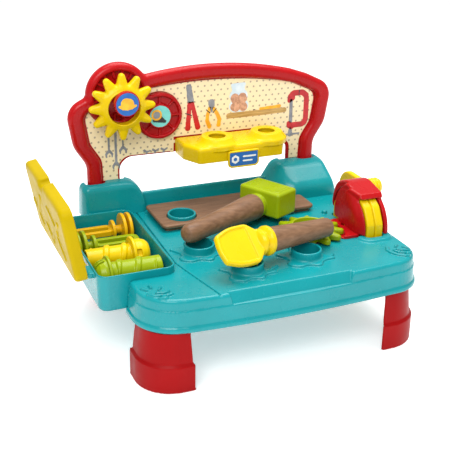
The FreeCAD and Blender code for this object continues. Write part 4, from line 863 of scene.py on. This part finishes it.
def driver_blade_field(p):
    q = turned(p, BLADE_TURN, DRIVER_AT)
    plan = BLADE(q[:, 0], q[:, 1])
    thick = np.interp(q[:, 0], [-70, -23, -8], [4.4, 5.4, 9.5])
    d = joined(plan, (np.abs(q[:, 2]) - thick) * 0.96, 3)
    sunk = smax(plan + 5, q[:, 0] + 22, 3)
    d = smax(d, -joined(sunk, thick - 1.7 - np.abs(q[:, 2]), 0.8), 2.2)
    neck = along(q, [-13, -10.5, -7.5, -4.5, -1.8, 0.5, 2.8, 6.6, 8.5],
                 [10, 14.8, 17.1, 16.9, 14.4, 17.2, 19.4, 19.2, 17.4])
    return smin(d, smax(smax(neck, q[:, 0] - 8.4, 1.5), -13 - q[:, 0], 2), 1.6)


def driver_handle_field(p):
    q = turned(p, DRIVER_TURN, DRIVER_AT)
    d = along(q, [8.5, 12, 40, 78, 106, 111, 114], [16, 16.4, 15.2, 13.6, 12.9, 11.8, 8.5])
    return smax(smax(d, 8.7 - q[:, 0], 1.5), q[:, 0] - 113.6, 4)


# --- toy screws in the bin ---
ROW = (-220, -132.5)          # both ends of every toy screw
SPAN = ROW[1] - ROW[0]
THIN_R, BOLT_R = 22, 23
THIN_Z, BOLT_Z = 92.4 + THIN_R, 92.4 + BOLT_R
SHANK_R, SHANK_BORE = 14, 10.8


def thin_field(p, at, way):
    """Thin toy screw: way is 1 with its two large discs at the right end, -1 at the left."""
    x, y, z = p.T
    u = (x - (ROW[1] if way > 0 else ROW[0])) * way
    r = length(y - at, z - THIN_Z)
    d = joined(r - THIN_R, slab(u, -4.5, 0), 1)
    d = np.minimum(d, joined(r - THIN_R, slab(u, -13, -8.5), 1))
    d = np.minimum(d, joined(r - 14, slab(u, -27, -22.5), 1))
    d = smin(d, joined(r - 6, slab(u, -27, -2), 1), 1.2)
    bar = joined(slab(u, -SPAN, -24), slab(y, at - 12, at + 12), 9)
    bar = np.maximum(bar, -joined(slab(u, -SPAN + 7.5, -31), slab(y, at - 5.5, at + 5.5), 4))
    return smin(d, joined(bar, slab(z, THIN_Z - 4, THIN_Z + 4), 1.2), 1)


def shank(y, z, r, u, ends, coiled, pitch):
    """Round shank of a bolt with a coarse thread on part of it."""
    angle = np.arctan2(z, y) / (2 * math.pi)
    phase = np.abs((u / pitch + angle) % 1 - 0.5) * pitch
    thread = length(np.maximum(phase - 1.6, 0), r - SHANK_R + 0.4) - 2.4
    return smin(joined(r - SHANK_R, slab(u, *ends[:2]), ends[2]), smax(thread, slab(u, *coiled), 2), 1.5)


def bolt_yellow_field(p):
    """Bolt with a flange and a round head that has two windows."""
    u, y, z = p[:, 0] - ROW[0], p[:, 1] - 169, p[:, 2] - BOLT_Z
    r = length(y, z)
    flange = ROW[1] - 26 - ROW[0]       # where the head starts
    d = shank(y, z, r, u, (2, flange + 1, 1), (10, flange - 4), 24)
    d = np.minimum(d, joined(r - BOLT_R, slab(u, flange, flange + 4.5), 1.4))
    dome = r - np.interp(u, [flange + 4, flange + 14, flange + 20, flange + 24, SPAN],
                         [19, 18.6, 16.6, 13.4, 9])
    dome = smax(smax(dome * 0.85, u - SPAN, 4), flange - u, 1)
    d = smin(d, dome, 1.5)
    for tilt in (25, 155):
        a = math.radians(tilt)
        out = y * math.cos(a) + z * math.sin(a)
        side = y * math.sin(a) - z * math.cos(a)
        window = joined(joined(slab(u, flange + 4.6, flange + 12), slab(side, -4, 4), 2), 15 - out, 1)
        d = smax(d, -window, 1.2)
    return smax(d, -np.maximum(r - SHANK_BORE, u - 56), 1)


def bolt_green_field(p):
    """Bolt with a domed head that is slotted from its end."""
    u, y, z = p[:, 0] - ROW[0], p[:, 1] - 122, p[:, 2] - BOLT_Z
    r = length(y, z)
    d = shank(y, z, r, u, (18, SPAN, 1.4), (28, SPAN - 8), 26)
    head = (r - np.interp(u, [0, 2, 6, 12, 18], [9, 13.6, 17.4, 19.4, 19.6])) * 0.85
    head = smax(smax(head, -u, 2), u - 18, 1)
    for side in (-1, 1):
        slot = joined(slab(y, 2 * side - 0.5 + (side - 1), 2 * side + 0.5 + (side + 1)), u - 13, 0.5)
        head = smax(head, -slot, 0.8)
    head = smax(head, -np.maximum(slab(z, -2.4, 2.4), u - 9), 0.8)
    d = np.minimum(d, head)
    d = np.minimum(d, joined(r - BOLT_R, slab(u, 16, 20), 1.4))
    return smax(d, -np.maximum(r - SHANK_BORE, SPAN - 30 - u), 1)


# --- saw ---
def saw_base_field(p):
    x, y, z = p.T
    plate = barrel(p, 2, GEAR_AT, 30, TABLE_Z - 0.5, TABLE_Z + 1.7, 0.8)
    foot = joined(joined(slab(x, 118, 149), slab(y, 97, 158), 8),
                  slab(z, TABLE_Z - 0.5, TABLE_Z + 4.5), 1.4)
    foot = np.maximum(foot, np.minimum(48 - length(x - GEAR_AT[0], y - GEAR_AT[1]), z - TABLE_Z - 1.7))
    stub = barrel(p, 2, GEAR_AT, 11.5, TABLE_Z, TABLE_Z + 11, 1.2)
    d = np.minimum(np.minimum(plate, foot), stub)
    return np.maximum(d, 5 - length(y - AXLE_Y, z - AXLE_Z) - np.maximum(141 - x, 0))


HOOD = Outline(rounded([(100, 120, 0), (100, 148, 12), (113.5, 166, 4), (107, 171.5, 2.5),
                        (111, 177.8, 4), (150, 186, 38), (181, 174, 28), (189, 146, 24),
                        (187, 120, 0)]), 0.8)


def saw_guard_field(p):
    x, y, z = p.T
    r = length(y - AXLE_Y, z - AXLE_Z)
    # the outer side steps out twice, each step the edge of a round shell that sits further forward
    shells = sum(np.clip((reach - length(y - cy, z - 138)) / 2.2 + 0.5, 0, 1)
                 for cy, reach in ((122, 50), (100, 52.3)))
    ahead = np.clip((134 - y) / 24, 0, 1)
    left = 150 - 4.6 * shells + ahead * 8 * np.clip((r - 30) / 18, 0, 1) ** 2
    side = (left - x) * 0.85
    d = smax(smax(HOOD(y, z), side, 3.5), x - 183.5, 3)
    cheeks = np.minimum(smax(np.maximum(r - 48.3, x - 149.6), side, 3),
                        smax(smax(r - 49.5, x - 183.5, 4), 176.5 - x, 1))
    d = np.maximum(smin(d, cheeks, 1.5), 126.5 - z)
    gap = slab(x, SAW_X - 13.5, SAW_X + 13.5)
    mouth = np.maximum(y - AXLE_Y, z - 164.5)
    return smax(d, -np.maximum(gap, np.minimum(r - 51.5, mouth)), 1.4)


HOUSE_X = 192.5     # outer face of the side housing
HOUSE = Outline(rounded([(119, 110, 0), (119, 174.5, 26), (231, 174.5, 28), (231, 110, 0)]), 0.8)


def saw_house_field(p):
    d = joined(HOUSE(p[:, 1], p[:, 2]), slab(p[:, 0], 183.7, HOUSE_X), 2.6)
    return np.maximum(d, TABLE_Z + 0.2 - p[:, 2])


def saw_grip_field(p):
    """Round grip with shallow ribs."""
    u = p[:, 0] - HOUSE_X
    r = length(p[:, 1] - 174, p[:, 2] - 160)
    ribs = 12 + 0.55 * np.cos(u * 2 * math.pi / 5)
    return smax(smax(r - ribs, u - 25, 5), -u, 0.6)


FACETS = 12
SEAM = 0.12     # half the gap between the wheel's halves


def wheel_field(p, side):
    """One half of the wheel, faceted round its edge; side is -1 for the left half."""
    y, z = p[:, 1] - AXLE_Y, p[:, 2] - AXLE_Z
    u = (p[:, 0] - SAW_X) * side
    angle = np.arctan2(z, y)
    pitch = 2 * math.pi / FACETS
    facet = (angle + math.radians(15)) % pitch - pitch / 2
    r = length(y, z)
    rim = smax(r * np.cos(facet) / math.cos(pitch / 2) * 0.975 - 49, r - 49.9, 2)
    d = joined(rim, slab(u, SEAM, 12.4), 3)
    seam = smax(rim + 0.1, SEAM - u, 1)
    return hard(d, seam, 4.2 - r)


# --- legs ---
LEG_INNER_X, LEG_SIDE_Y, LEG_WALL = 135, 66, 3.2
LEG_CORNER = (149, 48.2)      # centre of the corner's round
LEG_GROW = ([0, 34, 35, 38, 79, 79.2, 90], [3.5, 3.5, 3.2, 0, -4, -9, -9])


def leg_field(p, side, back):
    """Corner shell with a wider foot; side and back mirror it."""
    x = p[:, 0] * side + (3.5 if side < 0 else 0) + (10 if back else 0)
    y = 318 - p[:, 1] if back else p[:, 1]
    z = p[:, 2]
    grow = np.interp(z, *LEG_GROW)
    corner = joined(x - 193 - grow, 4.2 - grow - y, 1)
    cx, cy = LEG_CORNER
    outer = np.where((x > cx) & (y < cy), length(x - cx, y - cy) - 44 - grow, corner)
    d = joined(outer, -outer - LEG_WALL, 0.8)
    d = trim(d, (LEG_INNER_X - grow / 2 - x, 1.2), (y - LEG_SIDE_Y - grow / 2, 1.2))
    corner_side = half([x, y], (LEG_INNER_X, 4), (-0.73, 0.68))
    for z0 in (0, 34):
        d = np.minimum(d, hard(outer, slab(z, z0, z0 + 2.5), corner_side))
    d = trim(d, (-z, 0.6), (z - 90, 1))
    if side < 0:
        # room for the bin
        d = np.maximum(d, -hard(p[:, 0] + 119, slab(p[:, 1], 75, 287), LIP_Z - z))
    return d


# --- the moulded pieces ---
# Name, field, corners of its room, grid step, body, material, CAD node. None: the room is the CAD node's box.
MOULDED = [
    ("table", bench_field, ((-204, -8, 74), (206, 324, 142)), 1.7, "bench", TEAL, "bench_top"),
    ("rail", rail_field, ((-110, 294, 118), (104, 318, 150)), 1.3, "bench", TEAL, "rear_rail"),
    ("tower_right_cover", tower_right_field, ((86, 246, 118), (200, 322, 172)), 1.4, "bench", TEAL,
     "tower_right"),
    ("tower_left_cover", tower_left_field, ((-194, 280, 118), (-90, 322, 172)), 1.4, "bench", TEAL,
     "tower_left"),
    ("bin", bin_field, ((-238, 76, 78), (-120, 286, 136)), 1.5, "bench", TEAL, "tool_bin"),
    ("lid", lid_field, around("bin_lid", 4), 1.4, "lid", LID_SHADED_YELLOW, "bin_lid"),
    ("board_frame", frame_field, ((-210, 296, 142), (210, 320, 341)), 1.25, "bench", RED, "back_frame"),
    ("post", post_field, ((-150, 254, 271), (-110, 309, 311)), 0.8, "bench", RED, "gear_post"),
    ("back_gear_wheel", back_gear_field, ((-180, 267, 232), (-82, 288, 330)), 0.95, "back_gear", YELLOW,
     "gear_yellow"),
    ("table_gear_wheel", table_gear_field, ((34, 79, 122), (135, 180, 141)), 0.95, "table_gear", GREEN,
     "gear_green"),
    ("shelf", shelf_field, ((-50, 242, 194), (116, 312, 232)), 1.1, "bench", YELLOW, "tool_shelf"),
    ("badge", badge_field, ((7, 240, 184), (62, 248, 217)), 0.6, "bench", YELLOW, "shelf_badge"),
    ("board_plank", plank_field, ((-104, 198, 119), (134, 290, 135)), 1.4, "plank", PLANK_WOOD, "plank"),
    ("hammer_block", hammer_head_field, None, 1.1, "hammer", GREEN, "hammer_head"),
    ("hammer_grip", hammer_handle_field, None, 1.1, "hammer", HAMMER_WOOD, "hammer_handle"),
    ("driver_blade", driver_blade_field, None, 1, "screwdriver", YELLOW, "screwdriver_blade"),
    ("driver_grip", driver_handle_field, None, 1.1, "screwdriver", DRIVER_WOOD, "screwdriver_handle"),
    ("thin_yellow", partial(thin_field, at=255, way=1), None, 0.95, "thin_screw_yellow", AMBER,
     "toy_screw_yellow"),
    ("thin_green", partial(thin_field, at=213.5, way=-1), None, 0.95, "thin_screw_green", GREEN,
     "toy_screw_green"),
    ("thick_yellow", bolt_yellow_field, None, 0.95, "thick_bolt_yellow", YELLOW, "toy_bolt_yellow"),
    ("thick_green", bolt_green_field, None, 0.95, "thick_bolt_green", GREEN, "toy_bolt_green"),
    ("saw_foot", saw_base_field, None, 1.1, "bench", RED, "saw_base"),
    ("saw_hood", saw_guard_field, None, 1, "bench", RED, "saw_guard"),
    ("saw_house", saw_house_field, None, 1.1, "bench", YELLOW, "saw_housing"),
    ("saw_handle", saw_grip_field, None, 0.8, "bench", YELLOW, "saw_grip"),
]
SIDES = (("left", -1), ("right", 1))
for label, side in SIDES:
    half_wheel = partial(wheel_field, side=side)
    MOULDED.append((f"wheel_{label}", half_wheel, None, 1.1, "saw_wheel", YELLOW, f"saw_wheel_{label}"))
for end in ("front", "back"):
    for label, side in SIDES:
        leg = partial(leg_field, side=side, back=end == "back")
        node = f"leg_{end}_{label}"
        MOULDED.append((f"{node}_shell", leg, None, 1.5, "bench", LEG_SHADED_RED, node))
for name, field, room, step, body, material, node in MOULDED:
    piece(name, field, room or around(node), step, body, material, node)

# --- printed board and stickers ---
PRINT_H = (0.8, 0.16, 0.8)


def print_piece(name, material, paths, lo, hi, y=CARD_Y, h=PRINT_H, k=0, thick=0.3):
    """Thin raised print on a face at y that looks to the front; lo and hi are its corners in x and z."""
    def field(p):
        return np.maximum(strokes(p[:, 0], p[:, 2], paths, k), slab(p[:, 1], y - thick, y + 0.05))
    piece(name, field, ((lo[0], y - thick - 0.4, lo[1]), (hi[0], y + 0.4, hi[1])), h, "bench", material)


def over(y, h):
    """A thinner second layer of print on a face or on other print."""
    return {"y": y, "thick": 0.2, "h": h}


def bar(x0, z0, x1, z1, r0, r1=None):
    """A straight stroke with its radius at both ends."""
    return ((x0, z0), (x1, z1)), r0, r0 if r1 is None else r1


def spanner(x, z0, z1, w):
    """Hanging spanner: shank and open jaw at its lower end."""
    return (bar(x, z1, x, z0 + 8, w), (((x - 1, z0 + 8), (x - 4.4, z0 + 4), (x - 4, z0)), 2.2, 1.2),
            (((x + 1, z0 + 8), (x + 4.4, z0 + 4), (x + 4.2, z0)), 2.2, 1.2))


print_piece("print_spanners", GREY_INK,
            spanner(-143.5, 202.5, 236, 1.6) + spanner(-133.6, 184, 238, 2.1) + spanner(-123, 206, 236, 1.3),
            (-152, 180), (-115, 241))
print_piece("card_strip", CARD, (bar(-50.2, 200.5, -50.2, 214.6, 2.4),
                                 bar(-50.2, 214.6, 114, 214.6, 2.4)), (-54, 196), (118, 219))
print_piece("print_jaws", GREY_INK,
            ((((-92, 206), (-88, 203.5), (-83, 205)), 1.7, 1.2), bar(-88, 203.5, -88.5, 201.2, 1.6, 1.4),
             (((-79, 206), (-75, 203.5), (-70.5, 206)), 1.7, 1.2), bar(-75, 203.5, -76, 201.2, 1.6, 1.4),
             (((-66, 206), (-62, 203.5), (-57.5, 206)), 1.7, 1.2), bar(-62, 203.5, -63, 201.2, 1.6, 1.4)),
            (-96, 198), (-53, 209))
print_piece("print_plier_jaw", GREY_INK,
            (bar(-25.6, 294, -22.6, 272, 2.6, 4), bar(-22.6, 295, -19.6, 272, 2.2, 3.6),
             bar(10.4, 267, 10.8, 262, 5.2, 4.6), bar(10.8, 262, 10.8, 254, 3.4, 2),
             bar(138.6, 258, 138.8, 226, 3), bar(138.8, 215, 138.9, 206, 2.2, 4.2),
             bar(127, 205.2, 153.5, 205.8, 1.5)), (-31, 198), (158, 300))
print_piece("print_plier_grip", RED_INK,
            ((((-23.4, 269), (-24.4, 250), (-25.8, 232)), 3, 4.2),
             (((-19.2, 269), (-14.8, 250), (-10.4, 232.5)), 3, 4.2),
             (((137, 264), (142, 269), (157, 269), (163, 264), (164, 258), (164, 229),
               (162, 222.5), (157, 219.5), (137, 219.5)), 4.4, 4.4), bar(136.5, 259, 140.5, 262, 4.6),
             bar(136.5, 222, 140, 217.5, 4.6)), (-33, 211), (171, 277))
print_piece("print_nipper_grip", ORANGE_INK,
            ((((8, 259), (4.6, 248), (4.2, 240), (7.6, 231.5)), 2.6, 3.4),
             (((13.6, 258.5), (19.4, 250), (23.2, 241), (22, 232.5)), 2.6, 3.4),
             bar(89, 250, 119.5, 251.4, 2.6)), (-2, 225), (126, 264))
print_piece("print_bar", WOOD_INK, (bar(38, 244.2, 127, 244.8, 4.2),), (31, 238), (134, 251))
print_piece("print_bands", DARK_INK,
            (bar(-29.5, 254.5, -19.5, 250.5, 0.8), bar(2.5, 257, 8.5, 251.5, 0.8),
             bar(13, 251.5, 18, 257.5, 0.8), bar(151, 264, 151.5, 273, 0.8),
             bar(77, 249.6, 79.6, 249.8, 0.9)), (-32, 246), (155, 276),
            **over(CARD_Y - 0.3, (0.7, 0.13, 0.7)))
print_piece("print_jar", GLASS_INK,
            (bar(43, 289.5, 61.5, 289.8, 2.6), bar(46, 285, 58.5, 285, 4.2),
             bar(48, 273, 58, 273, 9.5), bar(47.5, 258, 59.5, 258, 9.5)), (34, 245), (74, 296), k=3)
print_piece("print_biscuits", BISCUIT_INK,
            (bar(47, 270, 48, 268, 7), bar(59, 271, 60, 268, 6.4),
             bar(46.5, 257, 49, 256, 6.6), bar(59, 258, 60.5, 256, 6.8),
             bar(53.5, 263, 54, 260, 6.6)), (36, 246), (72, 281), **over(CARD_Y - 0.3, (0.7, 0.13, 0.7)))


def disc_print(name, material, centre, radius, y, *nodes):
    """Round label on a face that looks to the front."""
    x, z = centre

    def field(p):
        return np.maximum(length(p[:, 0] - x, p[:, 2] - z) - radius, slab(p[:, 1], y, y + 0.3))
    reach = radius + 2
    room = ((x - reach, y - 0.4, z - reach), (x + reach, y + 0.7, z + reach))
    piece(name, field, room, (0.6, 0.13, 0.6), "bench", material, *nodes)


POST_FACE = 257.3
disc_print("post_label", BLUE_INK, POST, 15.8, POST_FACE - 0.28, "post_sticker")
print_piece("post_helmet", ORANGE_INK,
            (bar(-131.5, 292, -128.5, 291.5, 8, 7.6),
             (((-141, 288.6), (-136, 285.8), (-130, 285), (-124, 286), (-118.8, 288.6)), 1.9, 1.7)),
            (-146, 280), (-114, 304), k=1.5, **over(POST_FACE - 0.3, (0.5, 0.13, 0.5)))
DISC_FACE = 300
disc_print("disc_label", TURQUOISE_INK, DISC, 15.6, DISC_FACE - 0.3, "disc_sticker")
print_piece("disc_base", DARK_INK,
            (bar(-79, 251.5, -63.5, 249, 2.6, 2.4), bar(-70, 255, -65, 250, 3, 2.4)),
            (-86, 243), (-56, 262), **over(DISC_FACE - 0.32, (0.5, 0.13, 0.5)))
disc_print("disc_ring", ORANGE_INK, (-75.4, 259), 7.9, DISC_FACE - 0.7)
disc_print("disc_bolt", GREY_INK, (-75.4, 259), 5.2, DISC_FACE - 0.95)

BADGE_FACE = 242.9


def badge_face_field(p):
    return np.maximum(BADGE(p[:, 0], p[:, 2]) + 2.6, slab(p[:, 1], BADGE_FACE - 0.35, BADGE_FACE + 0.05))


piece("badge_label", badge_face_field, ((8, 242, 185), (61, 243.6, 216)), (0.6, 0.13, 0.6), "bench", BLUE_INK,
      "badge_sticker")


def nut_field(p):
    """A plain hexagon nut drawn on the badge."""
    x, z = p[:, 0] - 21.5, p[:, 2] - 200.5
    hexagon = hard(*[np.abs(x * math.cos(a) + z * math.sin(a)) for a in (0, math.pi / 3, 2 * math.pi / 3)])
    d = np.maximum(hexagon - 5.6, 2.7 - length(x, z))
    return np.maximum(d, slab(p[:, 1], BADGE_FACE - 0.55, BADGE_FACE - 0.3))


piece("badge_nut", nut_field, ((13, 241.8, 192), (30, 243.2, 209)), (0.45, 0.12, 0.45), "bench", WHITE_INK)
print_piece("badge_bars", WHITE_INK, (bar(34, 203.8, 52, 203.8, 1.3), bar(34, 197.6, 47, 197.6, 1.3)),
            (30, 194), (56, 208), **over(BADGE_FACE - 0.35, (0.5, 0.12, 0.5)))

# --- CAD nodes that stay ---
KEPT = {CARD: ("board_print",), AMBER: ("saw_axle",),
        STEEL: ("lid_hinge_rod", "tower_screws", "saw_screws", "bin_screws", "shelf_screws", "post_screw",
                "frame_screws")}
for material, nodes in KEPT.items():
    for node in nodes:
        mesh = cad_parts[node].data
        mesh.materials.clear()
        mesh.materials.append(material)

# --- floor, light and camera ---
scene = bpy.context.scene


def floor():
    """A wide pale sheet just under the feet that glows a little, so that shadows stay soft."""
    mesh = bpy.data.meshes.new("floor")
    size, z = 6, -0.0005
    mesh.from_pydata([(-size, -size, z), (size, -size, z), (size, size, z), (-size, size, z)], [],
                     [(0, 1, 2, 3)])
    obj = bpy.data.objects.new("floor", mesh)
    scene.collection.objects.link(obj)
    look = Look("pale_floor", None, 0.6)
    tone = look.mix(look.noise(look.place(), 2), (0.93, 0.93, 0.93), (0.95, 0.95, 0.95))
    look.set(Emission_Color=(1, 1, 1, 1), Emission_Strength=0.42, Base_Color=tone)
    mesh.materials.append(look.material)


def area_light(name, where, target, size, power):
    data = bpy.data.lights.new(name, "AREA")
    data.shape = "RECTANGLE"
    data.size, data.size_y = size
    data.energy = power
    obj = bpy.data.objects.new(name, data)
    obj.location = where
    obj.rotation_euler = (Vector(target) - Vector(where)).to_track_quat("-Z", "Y").to_euler()
    scene.collection.objects.link(obj)


CAMERA_AT = (-483.5, -923, 643.4)
CAMERA_TURN = (22.83, 23.17, 0.93)      # to the right, down, and about the line of sight


def camera():
    turn_right, look_down, roll = (math.radians(a) for a in CAMERA_TURN)
    ahead = Vector((math.sin(turn_right) * math.cos(look_down), math.cos(turn_right) * math.cos(look_down),
                    -math.sin(look_down)))
    right = Vector((math.cos(turn_right), -math.sin(turn_right), 0))
    up = right.cross(ahead)
    side = right * math.cos(roll) + up * math.sin(roll)
    top = up * math.cos(roll) - right * math.sin(roll)
    data = bpy.data.cameras.new("camera")
    data.sensor_width, data.lens = 36, 76.08
    data.clip_start = 0.05
    obj = bpy.data.objects.new("camera", data)
    where = [(value + shift) * MM for value, shift in zip(CAMERA_AT, SHIFT)]
    obj.matrix_world = Matrix([(side[i], top[i], -ahead[i], where[i]) for i in range(3)] + [(0, 0, 0, 1)])
    scene.collection.objects.link(obj)
    scene.camera = obj


floor()
camera()
area_light("top_box", (0.25, 0.25, 1.6), (0, 0, 0.1), (1.4, 1.1), 30)
area_light("front_box", (-0.62, -0.95, 1.2), (0.05, 0.1, 0.15), (0.8, 0.7), 15)
world = bpy.data.worlds.new("studio")
world.use_nodes = True
backdrop = world.node_tree.nodes["Background"]
backdrop.inputs["Color"].default_value = (1, 1, 1, 1)
backdrop.inputs["Strength"].default_value = 0.55
scene.world = world
scene.view_settings.view_transform = "Standard"
scene.view_settings.look = "None"
